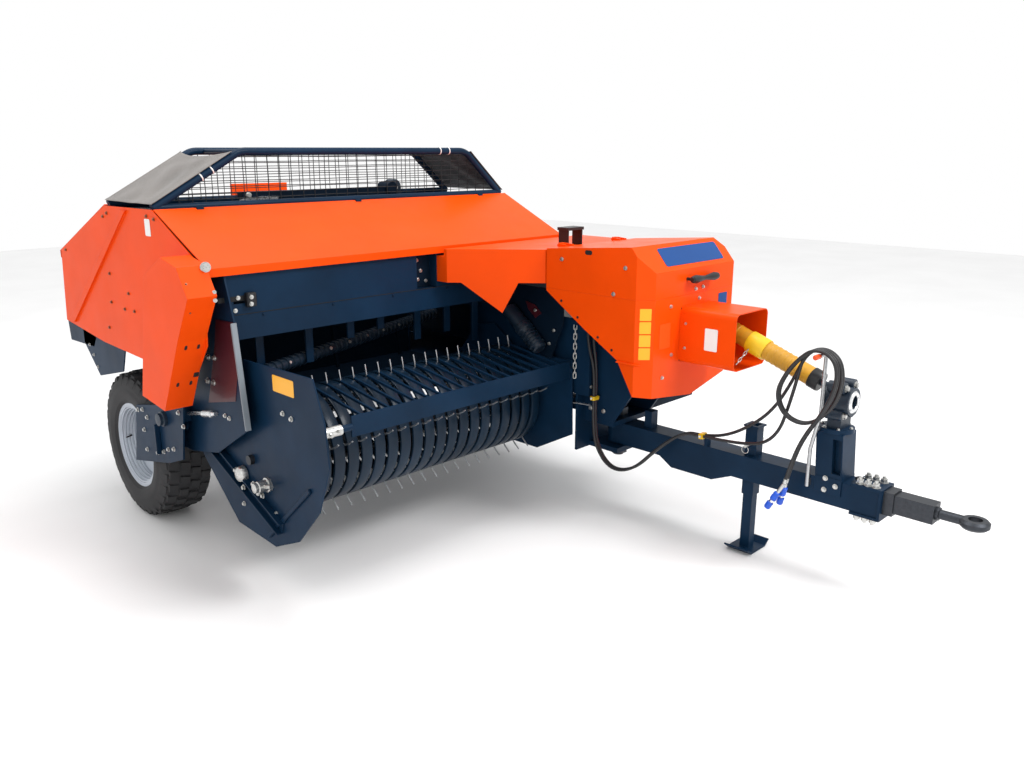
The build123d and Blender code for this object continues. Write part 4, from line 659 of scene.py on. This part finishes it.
def apron(name, node, x_low, x_high, material, scoop):
    """Canvas over one sloping end of the cage: creased between the arches, with a hem along each edge."""
    dx = x_high - x_low
    length = math.hypot(dx, CAGE_RISE)
    out_x = -CAGE_RISE / length * (1 if dx > 0 else -1)
    out_z = abs(dx) / length
    width = APRON_Y[1] - APRON_Y[0]
    rows = 46
    columns = 60
    bm = bmesh.new()
    verts = []
    for layer in (0, 1):
        sheet = []
        for i in range(rows + 1):
            line = []
            for j in range(columns + 1):
                along = i / rows
                v = j / columns
                hang = math.sin(math.pi * v)
                share = along * (APRON_END - scoop * hang ** 0.7)
                crease = math.sin(9.0 * v + 5.0 * along + 1.2 * math.sin(7 * along))
                crease += 0.7 * math.sin(21.0 * v - 9.0 * along + 2.0 * math.sin(4 * v))
                pull = 0.0026 * crease * hang * (0.35 + math.sin(math.pi * along))
                sag = -0.0035 * hang * math.sin(math.pi * min(1.0, along * 1.1))
                hem = 0.0012 if j in (1, columns - 1) or i in (rows - 1, 1) else 0.0
                up = 0.0008 + pull + sag + hem
                if v < 0.05 or v > 0.95:
                    up = max(up, 0.0006)
                up += APRON_LIFT + CANVAS_T * layer
                line.append(bm.verts.new((x_low + share * dx + out_x * up, APRON_Y[0] + width * v,
                                          CAGE_BASE + share * CAGE_RISE + out_z * up)))
            sheet.append(line)
        verts.append(sheet)
    for i in range(rows):
        for j in range(columns):
            for sheet, turn in zip(verts, (1, -1)):
                corners = [sheet[i][j], sheet[i][j + 1], sheet[i + 1][j + 1], sheet[i + 1][j]]
                bm.faces.new(corners[::turn])
    rim = [(i, 0) for i in range(rows)] + [(rows, j) for j in range(columns)]
    rim += [(i, columns) for i in range(rows, 0, -1)] + [(0, j) for j in range(columns, 0, -1)]
    for (i, j), (k, l) in zip(rim, rim[1:] + rim[:1]):
        bm.faces.new((verts[0][i][j], verts[0][k][l], verts[1][k][l], verts[1][i][j]))
    fix_normals(bm)
    cloth = make(name, bm, material, "baler", smooth_by=50)
    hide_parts(node)


apron("apron_right", "cage_apron_right", CAGE_FOOT[0], CAGE_SHOULDER[0], CANVAS, 0.1)
# The left apron in the canvas with painted shade
apron("apron_left", "cage_apron_left", CAGE_FOOT[1], CAGE_SHOULDER[1], CANVAS_SHADED, 0.04)

# Pickup reel: shaft, spiders and tine bars, with a coiled spring tine at every gap between the bands
REEL_Y = -0.32
REEL_Z = 0.53
TINE_BAR_R = 0.19
TINE_TIP_R = 0.305
TINE_BARS = 5
TINE_ROW_START = 96
TINE_COUNT = 20
TINE_PITCH = 0.068
TINE_X0 = -0.912
TINE_WIRE_R = 0.0036
COIL_WIRE_R = 0.003
COIL_R = 0.0165
COIL_TURNS = 2.5
PICKUP_X0 = -1.063
PICKUP_X1 = 0.42
REEL_X0 = PICKUP_X0 + 0.055
REEL_X1 = PICKUP_X1 - 0.018


def on_reel(x, radius, aside, angle):
    """Point of the reel from its distance out along an angle, and its offset aside from that line."""
    c, s = polar(1, math.radians(angle))
    return Vector((x, REEL_Y + radius * c - aside * s, REEL_Z + radius * s + aside * c))


bm = bmesh.new()
tines = bmesh.new()
add_lathe(bm, frame_matrix((0, REEL_Y, REEL_Z), LEFT),
          [(PICKUP_X0 - 0.02, 0.02), (REEL_X0, 0.02), (REEL_X0, 0.045), (REEL_X1, 0.045), (REEL_X1, 0.02),
           (PICKUP_X1 + 0.012, 0.02)])
row_angles = [TINE_ROW_START + k * 360 / TINE_BARS for k in range(TINE_BARS)]
for x in (REEL_X0, (REEL_X0 + REEL_X1) / 2, REEL_X1 - 0.006):
    star = [on_reel(x, radius, 0, angle + shift).yz for angle in row_angles
            for shift, radius in ((-9, 0.212), (9, 0.212), (24, 0.095), (48, 0.095))]
    add_side_plate(bm, star, x, x + 0.006)
for angle in row_angles:
    add_tube(bm, [on_reel(x, TINE_BAR_R, 0, angle) for x in (REEL_X0, REEL_X1)], 0.0135, 16)
    for i in range(TINE_COUNT):
        x = TINE_X0 + i * TINE_PITCH
        coil = helix(on_reel(x + 0.004, TINE_BAR_R, 0, angle), on_reel(x + 0.02, TINE_BAR_R, 0, angle),
                     COIL_R, COIL_TURNS, 12)
        add_tube(tines, coil, COIL_WIRE_R, 6)
        leg = [on_reel(x + 0.004, TINE_BAR_R + 0.01, 0.006, angle)]
        for radius, aside in ((TINE_BAR_R + 0.02, 0.002), (TINE_BAR_R + 0.06, 0.0005),
                              (TINE_TIP_R - 0.052, 0), (TINE_TIP_R - 0.036, -0.0035),
                              (TINE_TIP_R - 0.001, -0.0155)):
            leg.append(on_reel(x, radius, aside, angle))
        add_tube(tines, leg, TINE_WIRE_R, 8)
fix_normals(bm)
bars = make("reel_bars", bm, OILED, "reel", smooth_by=35)
wires = make("reel_tines", tines, TINE, "reel", smooth_by=60)
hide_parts("pickup_reel")
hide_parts("pickup_reel")

# Bent sheet bands with turned-in edges, on the rear beam and the tail bar
BAND_R = 0.252
BAND_W = 0.052
BAND_T = 0.003
BAND_DEPTH = 0.01
# Degrees from straight back at which the round part ends, above and below
BAND_TURN = 60
BEAM_Y = 0.01
TAIL_Y = -0.012
reach, rise = polar(BAND_R, math.radians(BAND_TURN))
slope = math.tan(math.radians(90 - BAND_TURN))
top_end = REEL_Z + rise - (TAIL_Y - REEL_Y - reach) * slope
low_end = REEL_Z - rise + (BEAM_Y - REEL_Y - reach) * slope
band_line = [(TAIL_Y, top_end, BAND_TURN)]
for angle in range(BAND_TURN, 361 - BAND_TURN, 4):
    y, z = polar(BAND_R, math.radians(angle))
    band_line.append((REEL_Y + y, REEL_Z + z, angle))
band_line.append((BEAM_Y, low_end, 360 - BAND_TURN))
half = BAND_W / 2
section = [(-half, -BAND_DEPTH), (-half, -BAND_T), (-half + 0.001, -0.001), (-half + 0.004, 0),
           (half - 0.004, 0), (half - 0.001, -0.001), (half, -BAND_T), (half, -BAND_DEPTH),
           (half - BAND_T, -BAND_DEPTH), (half - BAND_T, -BAND_T),
           (-half + BAND_T, -BAND_T), (-half + BAND_T, -BAND_DEPTH)]
bm = bmesh.new()
for i in range(TINE_COUNT):
    x = TINE_X0 + (i - 0.5) * TINE_PITCH
    rings = []
    for y, z, angle in band_line:
        c, s = polar(1, math.radians(angle))
        rings.append([bm.verts.new((x + u, y + w * c, z + w * s)) for u, w in section])
    skin(bm, rings)
fix_normals(bm)
sheet = make("bands", bm, BAND, "pickup", smooth_by=30)
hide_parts("pickup_strippers")
bars = blocks("band_bars", "pickup",
              [(PICKUP_X0 + 0.006, PICKUP_X1, BEAM_Y, BEAM_Y + 0.06, 0.41, 0.48),
               (PICKUP_X0 + 0.006, PICKUP_X1, TAIL_Y, TAIL_Y + 0.006, top_end - 0.0335, top_end)],
              NAVY, 0.0025)
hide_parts("pickup_strippers")

# Pickup: bright clamp round the wind guard's pin, and fixings of the side plates
collars("guard_bearing", "pickup", [frame_matrix((-0.985, -0.735, 0.717), LEFT)],
        [(-0.035, 0.0145), (-0.035, 0.021), (0.075, 0.021), (0.075, 0.0145)], ZINC, 20)
bolts("guard_bearing_bolts", "pickup", (0, -1, 0.2), [(-0.93, -0.757, 0.722), (-0.965, -0.757, 0.712)], 0.02)
plate("pickup_sign", "pickup", (PICKUP_X0, -0.6, 0.893), RIGHT, 0.15, 0.065, PLATE_AMBER)
bolts("pickup_side_bolts", "pickup", RIGHT,
      at_x(PICKUP_X0, [(-0.587, 0.783), (-0.646, 0.774), (-0.308, 0.523), (-0.085, 0.437), (-0.219, 0.307),
                       (-0.481, 0.342), (-0.101, 0.673)]), 0.022)
side_sheet("pickup_side_fold", "pickup", [(-0.421, 0.217), (-0.757, 0.511), (-0.745, 0.524), (-0.409, 0.23)],
           PICKUP_X0 - 0.01, PICKUP_X0, NAVY, 0.002)
turned("pickup_stop", "pickup", (PICKUP_X0, -0.437, 0.454), RIGHT,
       [(0, 0.03), (0.012, 0.03), (0.014, 0.024), (0.05, 0.024), (0.053, 0.02), (0.066, 0.02),
        (0.07, 0.012)], ZINC, 26)
rods("pickup_stop_arm", "pickup",
     [at_x(PICKUP_X0 - 0.03, [(-0.437, 0.454), end]) for end in ((-0.51, 0.47), (-0.4, 0.41))], 0.009, ZINC)
ARM_X = PICKUP_X0 - 0.028
turned("arm_dome", "pickup", (ARM_X, -0.246, 0.452), RIGHT,
       [(-0.024, 0.034), (-0.002, 0.034), (0.004, 0.03), (0.009, 0.022), (0.012, 0.008)], ZINC, 28)
bolts("arm_bolts", "pickup", RIGHT,
      at_x(ARM_X + 0.01, [(-0.262, 0.397), (-0.348, 0.436), (-0.417, 0.406), (-0.204, 0.458)]), 0.024)
bolts("pickup_inner_bolts", "pickup", LEFT,
      at_x(PICKUP_X1 + 0.006, [(-0.62, 0.56), (-0.42, 0.66), (-0.3, 0.4), (-0.55, 0.36), (-0.1, 0.62)]),
      0.018)

# Motor of the pickup, slung from the header beam beside the chamber
motor_top = Vector((0.355, -0.372, 0.98))
motor_line = Vector((0.355, -0.591, 0.806)) - motor_top
profile = [(0.0, 0.03), (0.006, 0.039), (0.12, 0.039), (0.124, 0.044), (0.15, 0.044), (0.154, 0.039)]
for k in range(5):
    h = 0.168 + k * 0.019
    profile += [(h, 0.037), (h + 0.002, 0.042), (h + 0.009, 0.042), (h + 0.011, 0.037)]
profile += [(motor_line.length - 0.006, 0.037), (motor_line.length, 0.03)]
turned("drive_motor", "baler", motor_top, motor_line, profile, CAST, 36)
# The hanger is in the navy with painted shade
side_sheet("drive_hanger", "baler",
           [(-0.292, 1.1), (-0.292, 0.99), (-0.33, 0.94), (-0.56, 0.76), (-0.625, 0.76), (-0.66, 0.85),
            (-0.7, 0.94), (-0.7, 1.06), (-0.64, 1.1)], 0.398, 0.404, NAVY_SHADED, 0.001)
side_sheet("drive_shield", "baler",
           [(-0.45, 1.025), (-0.52, 1.01), (-0.56, 0.975), (-0.52, 0.945), (-0.47, 0.985)],
           0.392, 0.396, MAROON, 0.001)
bolts("drive_bolts", "baler", RIGHT, [(0.392, -0.52, 0.985), (0.398, -0.64, 0.9), (0.398, -0.61, 0.83)],
      0.018)

# Right side: end panel, chain guard, side wall, wheel bracket
PANEL_X = -1.184
bolts("panel_bolts", "baler", RIGHT,
      at_x(PANEL_X, [(0.646, 1.206), (0.453, 1.136), (0.663, 1.073), (0.514, 1.059), (0.409, 1.062),
                     (0.724, 0.946), (0.649, 1.461), (0.11, 1.477), (1.181, 1.272), (0.18, 1.486),
                     (0.6, 1.478)]), 0.016, DULL_ZINC)
plate("panel_label", "baler", (PANEL_X, 0.18, 1.44), RIGHT, 0.052, 0.07, PLATE_WHITE)
rods("panel_edge", "baler", [at_x(PANEL_X - 0.0005, [(0.392, 1.487), (1.172, 0.922)])], 0.0035, ORANGE, 8)
side_sheet("rear_bracket", "baler",
           [(0.93, 0.868), (1.262, 0.906), (1.3, 0.902), (1.31, 0.955), (1.292, 0.8), (0.975, 0.812)],
           -1.178, -1.17, NAVY, 0.0015)
side_sheet("panel_foot", "baler",
           [(1.103, 0.9), (1.103, 0.815), (0.941, 0.672), (0.641, 0.745), (0.591, 0.853)],
           -1.178, -1.172, NAVY, 0.0015)
bolts("panel_foot_bolts", "baler", RIGHT, at_x(-1.178, [(1.03, 0.815), (0.99, 0.77), (0.955, 0.715)]))
GUARD_NORMAL = (0, -0.865, -0.501)
slot = rounded(0.011, 0.022, 0.005)
wide_slot = rounded(0.022, 0.024, 0.004)
# Slots in the chain guard: plates of painted shade
bm = bmesh.new()
for place, outline in (((-1.261, -0.242, 1.014), slot), ((-1.21, -0.241, 1.011), slot),
                       ((-1.266, -0.147, 0.85), slot), ((-1.212, -0.146, 0.848), slot),
                       ((-1.196, -0.166, 0.883), wide_slot)):
    add_prism(bm, frame_matrix(place, GUARD_NORMAL), outline, PLATE_GAP, HOLE_T)
make("guard_slots", bm, HOLE_SHADE_AND_SEAM, "baler")
bm = bmesh.new()
add_bolt(bm, (-1.284, -0.347, 1.273), (0, -0.83, 0.55), 0.01)
add_bolt(bm, (-1.276, -0.339, 1.165), GUARD_NORMAL, 0.01)
make("guard_marks", bm, DULL_ZINC, "baler")
bolts("guard_bolt", "baler", (-0.4, -1, 0.1), [(-1.192, -0.322, 1.325)], 0.04)
bolts("guard_edge_bolts", "baler", (-0.5, -1, 0), at_x(-1.19, [(-0.372, 1.236), (-0.374, 1.205)]))
WALL_X = -1.112
bolts("side_bolts", "baler", RIGHT,
      at_x(WALL_X, [(-0.115, 0.932), (-0.167, 0.938), (-0.09, 0.828), (-0.143, 0.83)]), 0.026)
side_sheet("side_patch", "baler",
           [(-0.206, 1.1), (-0.345, 1.107), (-0.35, 0.901), (-0.315, 0.784), (-0.077, 0.731), (-0.177, 0.99)],
           WALL_X - 0.002, WALL_X, MAROON, 0.0005)
# The flange's edge, pale with painted highlight
side_sheet("side_flange", "baler", [(-0.35, 1.105), (-0.402, 0.685), (-0.41, 0.684), (-0.358, 1.106)],
           WALL_X - 0.016, WALL_X + 0.008, FLANGE_HIGHLIGHT, 0.001)
BRACKET_X = -1.168
bolts("bracket_bolts", "baler", RIGHT,
      at_x(BRACKET_X, [(0.54, 0.58), (0.485, 0.593), (0.441, 0.565), (0.488, 0.495), (0.354, 0.512),
                       (0.478, 0.402), (0.36, 0.415), (0.293, 0.436), (0.242, 0.459), (0.184, 0.475),
                       (0.061, 0.607), (0.1, 0.66)]), 0.022)
side_sheet("bracket_web", "baler", [(0.33, 0.56), (0.33, 0.42), (0.318, 0.42), (0.318, 0.56)],
           BRACKET_X - 0.022, BRACKET_X, NAVY, 0.0015)
turned("bracket_boss", "baler", (BRACKET_X, 0.255, 0.6), RIGHT,
       [(0, 0.034), (0.014, 0.034), (0.017, 0.028), (0.03, 0.028), (0.032, 0.01)], CAST, 28)
rods("silver_rod", "baler", [at_x(-1.122, [(0.197, 0.63), (-0.151, 0.699)])], 0.009, BRIGHT)
turned("rod_end", "baler", (-1.122, -0.04, 0.677), (0, -0.98, 0.194),
       [(0, 0.009), (0.002, 0.015), (0.075, 0.015), (0.077, 0.009)], BRIGHT, 20)
bolts("rod_bolts", "baler", RIGHT, at_x(WALL_X, [(-0.215, 0.704), (-0.25, 0.7)]), 0.02)

# Header beam over the intake, with its latch, painted shade in its slot and its recess, and its seam
HEADER_Y = -0.29
RECESS_Y = -0.2412
# The slot: a plate of painted shade
blocks("header_slot", "baler", [(-1.139, -1.026, HEADER_Y - HOLE_T, HEADER_Y - PLATE_GAP, 1.176, 1.196)],
       HOLE_SHADE_AND_SEAM)
blocks("header_latch", "baler", [(-1.028, -0.987, HEADER_Y - 0.024, HEADER_Y, 1.151, 1.207)], BLACK, 0.003)
bolts("latch_bolts", "baler", FRONT,
      at_y(HEADER_Y - 0.024, [(-1.01, 1.19), (-1.012, 1.163)])
      + [(-1.055, HEADER_Y - HOLE_T, 1.189), (-1.07, HEADER_Y, 1.14)], 0.018)
# The recess: a dark navy plate of painted shade
blocks("header_recess", "baler", [(-0.159, -0.045, RECESS_Y, RECESS_Y + 0.001, 1.1225, 1.299)], NAVY_SHADED)
rods("recess_edge", "baler", [at_y(-0.244, [(-0.15, 1.13), (-0.15, 1.285)])], 0.0035, STEEL, 8)
bolts("recess_bolts", "baler", FRONT,
      at_y(RECESS_Y, [(-0.118, 1.16), (-0.07, 1.15), (-0.1, 1.2), (-0.122, 1.25)]), 0.018)
rods("header_seam", "baler", [at_y(HEADER_Y - 0.0006, [(-1.1, 1.122), (0.3, 1.122)])], 0.0016, HOLE_SHADE_AND_SEAM, 6)
bolts("header_bolts", "baler", FRONT, [(x, HEADER_Y, 1.11) for x in (-0.95, -0.62, -0.3, 0.02)], 0.012, NAVY)

# Intake: posts behind the header beam, and the oblique shaft seen through it
post_parts = []
for x, low in ((-0.9, 0.848), (-0.66, 0.838), (-0.44, 0.915), (-0.27, 0.935), (-0.05, 0.85),
               (0.14, 0.862), (0.33, 0.79)):
    post_parts.append((x - 0.019, x + 0.019, -0.15, -0.138, low, 1.021))
    post_parts.append((x - 0.003, x + 0.003, -0.138, -0.115, low + 0.02, 1.021))
blocks("intake_posts", "baler", post_parts, NAVY, 0.0015, 1)
# The rail under the header takes the navy with painted shade
blocks("intake_rail", "baler", [(-1.103, 0.443, -0.219, -0.115, 1.018, 1.022)], NAVY_SHADED)
shaft_start = Vector((-1.103, -0.269, 0.85))
shaft_end = Vector((0.443, 0.312, 0.86))
rods("intake_shaft", "baler", [[shaft_start, shaft_end]], 0.024, CAST)
bolts("intake_bolts", "baler", (0.2, -1, 0.4),
      [shaft_start.lerp(shaft_end, 0.12 + 0.09 * k) + Vector((0, -0.027, 0.01)) for k in range(9)])
RING_COUNT = 42
collars("intake_rings", "baler",
        [frame_matrix(shaft_start.lerp(shaft_end, (k + 0.5) / RING_COUNT), shaft_end - shaft_start)
         for k in range(RING_COUNT)],
        [(-0.008, 0.0235), (-0.005, 0.03), (0.005, 0.03), (0.008, 0.0235)], CAST, 24)


# Wheels
def wheel_details(body, x, z, half, out):
    """Rolled lip, stepped rings in the dish, studs with nuts, hub cap and valve."""
    facing = (out, 0, 0)
    m = frame_matrix((x, WHEEL_Y, z), facing)
    bm = bmesh.new()
    add_lathe(bm, m, [(half - 0.004, 0.209), (half + 0.001, 0.2085), (half + 0.003, 0.204),
                      (half + 0.001, 0.199), (half - 0.004, 0.198)], 72, close=True)
    for h in (0.097, 0.083, 0.069, 0.056):
        # radius of the dish, which widens outwards
        r = 0.162 + (h - 0.045) * 0.467 + (half - 0.105)
        add_lathe(bm, m, [(h - 0.004, r - 0.001), (h - 0.002, r - 0.0045), (h + 0.002, r - 0.004),
                          (h + 0.004, r + 0.002)], 72, close=True)
    fix_normals(bm)
    make(body + "_rings", bm, SILVER, body, smooth_by=50)
    bolts(body + "_nuts", body, facing,
          at_x(x, [(WHEEL_Y + y, z + up) for y, up in ring_points(0.077, 6, 0.3)]), 0.026)
    turned(body + "_cap", body, (x + 0.07 * out, WHEEL_Y, z), facing,
           [(0, 0.039), (0.01, 0.038), (0.02, 0.033), (0.026, 0.024), (0.029, 0.01)], ZINC)
    rods(body + "_valve", body,
         [[(x + 0.06 * out, WHEEL_Y + 0.166, z), (x + 0.092 * out, WHEEL_Y + 0.15, z)]], 0.004, BLACK)


wheel_details("right_wheel", -1.03, 0.36, 0.105, -1)
wheel_details("left_wheel", 1.152, 0.38, 0.125, 1)

# Hood with its lid, and the drive tunnel
HOOD_FRONT = -1.28
HOOD_SIDE = 0.27
plate("hood_badge", "hood_lid", (TONGUE_X, -1.2345, 1.2992), (0, -0.107, 0.09), 0.45, 0.094, PLATE_BLUE,
      r=0.012)
rods("hood_handle", "hood_lid", [[(x, HOOD_FRONT, 1.2), (x, HOOD_FRONT - 0.03, 1.2)] for x in (0.56, 0.74)],
     0.007, BLACK)
turned("hood_grip", "hood_lid", (0.548, HOOD_FRONT - 0.034, 1.2), LEFT,
       [(0.0, 0.008), (0.006, 0.015), (0.03, 0.019), (0.062, 0.014), (0.1, 0.0095), (0.138, 0.014),
        (0.172, 0.019), (0.198, 0.015), (0.204, 0.008)], BLACK, 24)
bolts("hood_lid_bolts", "hood_lid", FRONT, at_y(HOOD_FRONT, [(0.629, 1.149), (0.687, 1.152)]), 0.018)
bolts("hood_bolts", "baler", FRONT,
      at_y(HOOD_FRONT, [(0.661, 1.104), (0.444, 1.091), (0.462, 0.874), (0.4, 0.78)]), 0.018)
for name, x, z, w, h, material in (("hood_plate_upper", 0.858, 1.07, 0.072, 0.074, PLATE_BLUE),
                                   ("hood_plate_lower", 0.862, 1.000, 0.07, 0.042, PLATE_BLUE),
                                   ("hood_hatch", 0.408, 0.965, 0.08, 0.11, ORANGE_PALE)):
    plate(name, "baler", (x, HOOD_FRONT, z), FRONT, w, h, material)
for k in range(4):
    plate("hood_amber_" + str(k + 1), "baler", (0.302, -1.252, 0.898 + 0.057 * k), (-1, -1, 0), 0.05, 0.052,
          PLATE_AMBER, r=0.003)
bolts("hood_side_bolts", "hood_lid", RIGHT,
      at_x(HOOD_SIDE, [(-1.162, 1.263), (-1.101, 1.145), (-0.8, 1.27)]), 0.02)
# The hole in the lid's side: a plate of painted shade
plate("hood_hole", "hood_lid", (HOOD_SIDE, -0.956, 1.312), RIGHT, 0.04, 0.02, HOLE_SHADE_AND_SEAM, HOLE_T, 0.009)
blocks("hood_lip", "baler", [(HOOD_SIDE - 0.01, HOOD_SIDE, -1.262, -1.131, 0.848, 0.853)], ORANGE)
bolts("hood_under_bolts", "baler", RIGHT,
      at_x(HOOD_SIDE, [(-1.1, 0.896), (-1.02, 0.942), (-0.9, 1.016), (-0.8, 1.08)]), 0.012, BLACK)
plate("tunnel_label", "baler", (0.52, -1.4425, 0.955), RIGHT, 0.064, 0.098, PLATE_WHITE)
bolts("tunnel_bolts", "baler", RIGHT, at_x(0.52, [(-1.31, 1.01), (-1.31, 0.9)]), 0.014)
blocks("cover_bracket", "baler",
       [(0.445, 0.452, -0.68, -0.62, 1.305, 1.385), (0.543, 0.55, -0.68, -0.62, 1.305, 1.385),
        (0.44, 0.555, -0.684, -0.616, 1.378, 1.392)], BLACK)
bolts("crank_cover_bolts", "baler", FRONT, at_y(-0.6953, [(0.3, 1.2), (0.86, 1.2)]), 0.016, DULL_ZINC)

# Below the hood: lifting chain, bulkhead rod, bar on the frame's lug and the drive guard's safety chain
chain("lift_chain", "baler", (0.4355, -0.745, 0.94), (0.4355, -0.745, 0.675), 0.024, 0.0026)
blocks("chain_bracket", "baler", [(0.4275, 0.444, -0.76, -0.73, 0.938, 0.958)], NAVY)
rods("bulkhead_rod", "baler", [at_x(0.4395, [(-0.725, 0.547), (-0.845, 0.556)])], 0.0042, BRIGHT)
bolts("stand_bolts", "baler", RIGHT,
      at_x(0.5, [(-0.918, 0.825), (-0.98, 0.79), (-0.88, 0.52), (-0.8, 0.52)]), 0.022)
# The bar on the lug is navy with painted shade
blocks("lug_bar", "baler", [(0.79, 1.19, -0.932, -0.892, 0.4755, 0.513)], NAVY_SHADED, 0.003)
ends = ((0.545, -1.556, 0.862), (0.612, -1.574, 0.925))
guard_chain = chain("guard_chain", None, ends[0], ends[1], 0.016, 0.0018)
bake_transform(guard_chain)
bolts("chamber_front_bolts", "baler", FRONT,
      at_y(-0.8301, [(0.46, 0.64), (0.9, 0.64), (0.46, 0.93), (0.9, 0.93)]), 0.018)

# Drive guard
GUARD_TILT = math.radians(20)
GUARD_R = 0.0402


def guard_point(distance):
    """Point on the drive shaft's centre line, measured from its joint in the tunnel."""
    y, z = polar(distance, GUARD_TILT)
    return Vector((TONGUE_X, -1.38 - y, 1.015 - z))


guard_line = guard_point(1) - guard_point(0)
turned("guard_ring", "pto_shaft", guard_point(0.189), guard_line,
       [(0, GUARD_R), (0, 0.0458), (0.006, 0.0468), (0.08, 0.0468), (0.087, 0.0458), (0.087, GUARD_R)],
       BRIGHT_YELLOW, 40)
collars("guard_ribs", "pto_shaft",
        [frame_matrix(guard_point(distance), guard_line)
         for distance in (0.075, 0.1, 0.125, 0.3, 0.325, 0.35, 0.375, 0.4, 0.425)],
        [(-0.004, GUARD_R), (-0.002, 0.0416), (0.002, 0.0416), (0.004, GUARD_R)], YELLOW, 36, 50)
turned("guard_collar", "pto_shaft", guard_point(0.5), guard_line,
       [(0, 0.0404), (0, 0.0434), (0.04, 0.0434), (0.046, 0.0404)], BLACK, 36)
turned("guard_cone", "pto_shaft", guard_point(0.045), guard_line,
       [(0, 0.05), (0.002, 0.052), (0.026, 0.0445), (0.03, 0.0405)], BLACK, 36)

# Tower, hitch and jack
HEAD_Y = -2.035
JACK_Y = -1.61
bolts("head_bolts", "tongue", FRONT,
      at_y(HEAD_Y + 0.02, [(0.608, 0.72), (0.692, 0.72), (0.608, 0.832), (0.692, 0.832)]), 0.03)
turned("head_ring", "tongue", (TONGUE_X, HEAD_Y, 0.772), FRONT,
       [(-0.02, 0.0275), (0.002, 0.0275), (0.006, 0.031), (0.006, 0.04), (0.0, 0.046), (-0.02, 0.046)],
       BRIGHT, 36)
bm = bmesh.new()
for y, z in ((-1.976, 0.45), (-1.974, 0.4), (-2.02, 0.425)):
    add_bolt(bm, (0.588, y, z), RIGHT, 0.022)
for y, z in ((-1.976, 0.45), (-1.974, 0.4)):
    add_bolt(bm, (0.712, y, z), LEFT, 0.022)
make("tower_bolts", bm, ZINC, "tongue")
bolts("flange_bolts", "tongue", UP,
      [(TONGUE_X + x, -1.975 + y, 0.66) for x, y in ring_points(0.06, 6, math.pi / 6)])
bm = bmesh.new()
for y in (-2.174, -2.142, -2.11):
    for x in (0.612, 0.688):
        for z, facing in ((0.457, UP), (0.325, DOWN)):
            m = frame_matrix((x, y, z), facing)
            add_lathe(bm, m, [(0, 0.0175), (0.003, 0.0175)], 20)
            add_prism(bm, m, ring_points(0.0142, 6, 0.2), 0.003, 0.0175)
            add_lathe(bm, m, [(0.0175, 0.0075), (0.026, 0.0075)], 14)
make("hitch_nuts", bm, ZINC, "tongue")
turned("beam_cap", "tongue", (TONGUE_X, -2.09, 0.457), UP, [(0, 0.017), (0.008, 0.017), (0.011, 0.013)],
       BLACK, 24)
turned("eye_collar", "tongue", (TONGUE_X, -2.396, 0.405), FRONT,
       [(0, 0.0195), (0, 0.026), (0.012, 0.026), (0.014, 0.0195)], OILED, 30)
rods("jack_pin", "tongue",
     [at_y(JACK_Y, [(0.575, 0.5), (0.6245, 0.5)]), at_y(JACK_Y, [(0.6755, 0.5), (0.728, 0.5)])],
     0.007, ZINC)
ring_line = [(0.577, JACK_Y + y, 0.484 + z) for z, y in ring_points(0.016, 16) + [(0.016, 0)]]
rods("jack_pin_ring", "tongue", [ring_line], 0.0018, ZINC, 8)
turned("hook_cap", "tongue", (0.4835, -1.937, 0.967), RIGHT,
       [(-0.03, 0.0082), (-0.03, 0.0105), (0.004, 0.0105), (0.0075, 0.006)], CAP_RED, 24)
blocks("hook_weld", "tongue", [(0.5948, 0.6035, -1.912, -1.888, 0.4, 0.43)], OILED)

# Fixings on the chamber and the chute, and the packer's shoe and knuckle
rib_spots = []
for k in range(5):
    for x in (0.429, 0.931):
        for z in (0.6, 0.78, 0.94):
            rib_spots.append((x, 0.64 + 0.42 * k, z))
bolts("rib_bolts", "baler", FRONT, rib_spots, 0.014)
bolts("chute_bolts", "chute", REAR, [(x, 2.584, z) for x in (0.48, 0.88) for z in (0.66, 1.05, 1.44)], 0.018)
prism("packer_shoe", "baler", (-0.58, 0.3495, 1.524), FRONT,
      [(-0.1, -0.012), (0.1, -0.006), (0.1, 0.012), (0.02, 0.014), (-0.1, 0.004)], 0.0, 0.006, BRIGHT)
turned("packer_knuckle", "baler", (0.222, 0.4, 1.556), FRONT,
       [(0, 0.036), (0.004, 0.043), (0.046, 0.043), (0.05, 0.036)], CAST)
prism("packer_neck", "baler", (0.215, 0.375, 1.52), FRONT,
      [(-0.06, -0.05), (0.06, -0.05), (0.048, 0.05), (-0.03, 0.07)], -0.02, 0.02, CAST)
bolts("packer_bolts", "baler", FRONT, [(0.222, 0.35, 1.556), (0.19, 0.355, 1.51), (-0.63, 0.35, 1.545)],
      0.03)

# Floor and light
bm = bmesh.new()
add_prism(bm, Matrix.Identity(4), [(-14, -14), (14, -14), (14, 14), (-14, 14)], -0.02, 0.0)
mat, tree, shader = new_material("floor")
colour_by(tree, shader, noise(tree, 1.2, 3), (1, 1, 1), [(0.3, 0.86), (0.7, 0.9)])
put(shader, {"Roughness": 0.6})
floor = make("floor", bm, mat, None)
world = bpy.data.worlds.new("studio")
world.use_nodes = True
put(world.node_tree.nodes["Background"], {"Color": (1, 1, 1, 1), "Strength": 1.0})
scene.world = world
scene.view_settings.view_transform = "Standard"
for name, place, aim, size, power in (
        ("key", (1.5, -5.0, 5.5), (0, 0, 0.8), 2.0, 230),
        ("fill", (-5.0, -2.5, 3.0), (0, 0, 0.8), 2.5, 15),
        ("top", (0.0, 0.5, 6.0), (0, 0, 0.5), 3.0, 150)):
    data = bpy.data.lights.new(name, "AREA")
    data.size = size
    data.energy = power
    light = bpy.data.objects.new(name, data)
    light.location = place
    light.rotation_euler = (Vector(aim) - Vector(place)).to_track_quat("-Z", "Y").to_euler()
    scene.collection.objects.link(light)
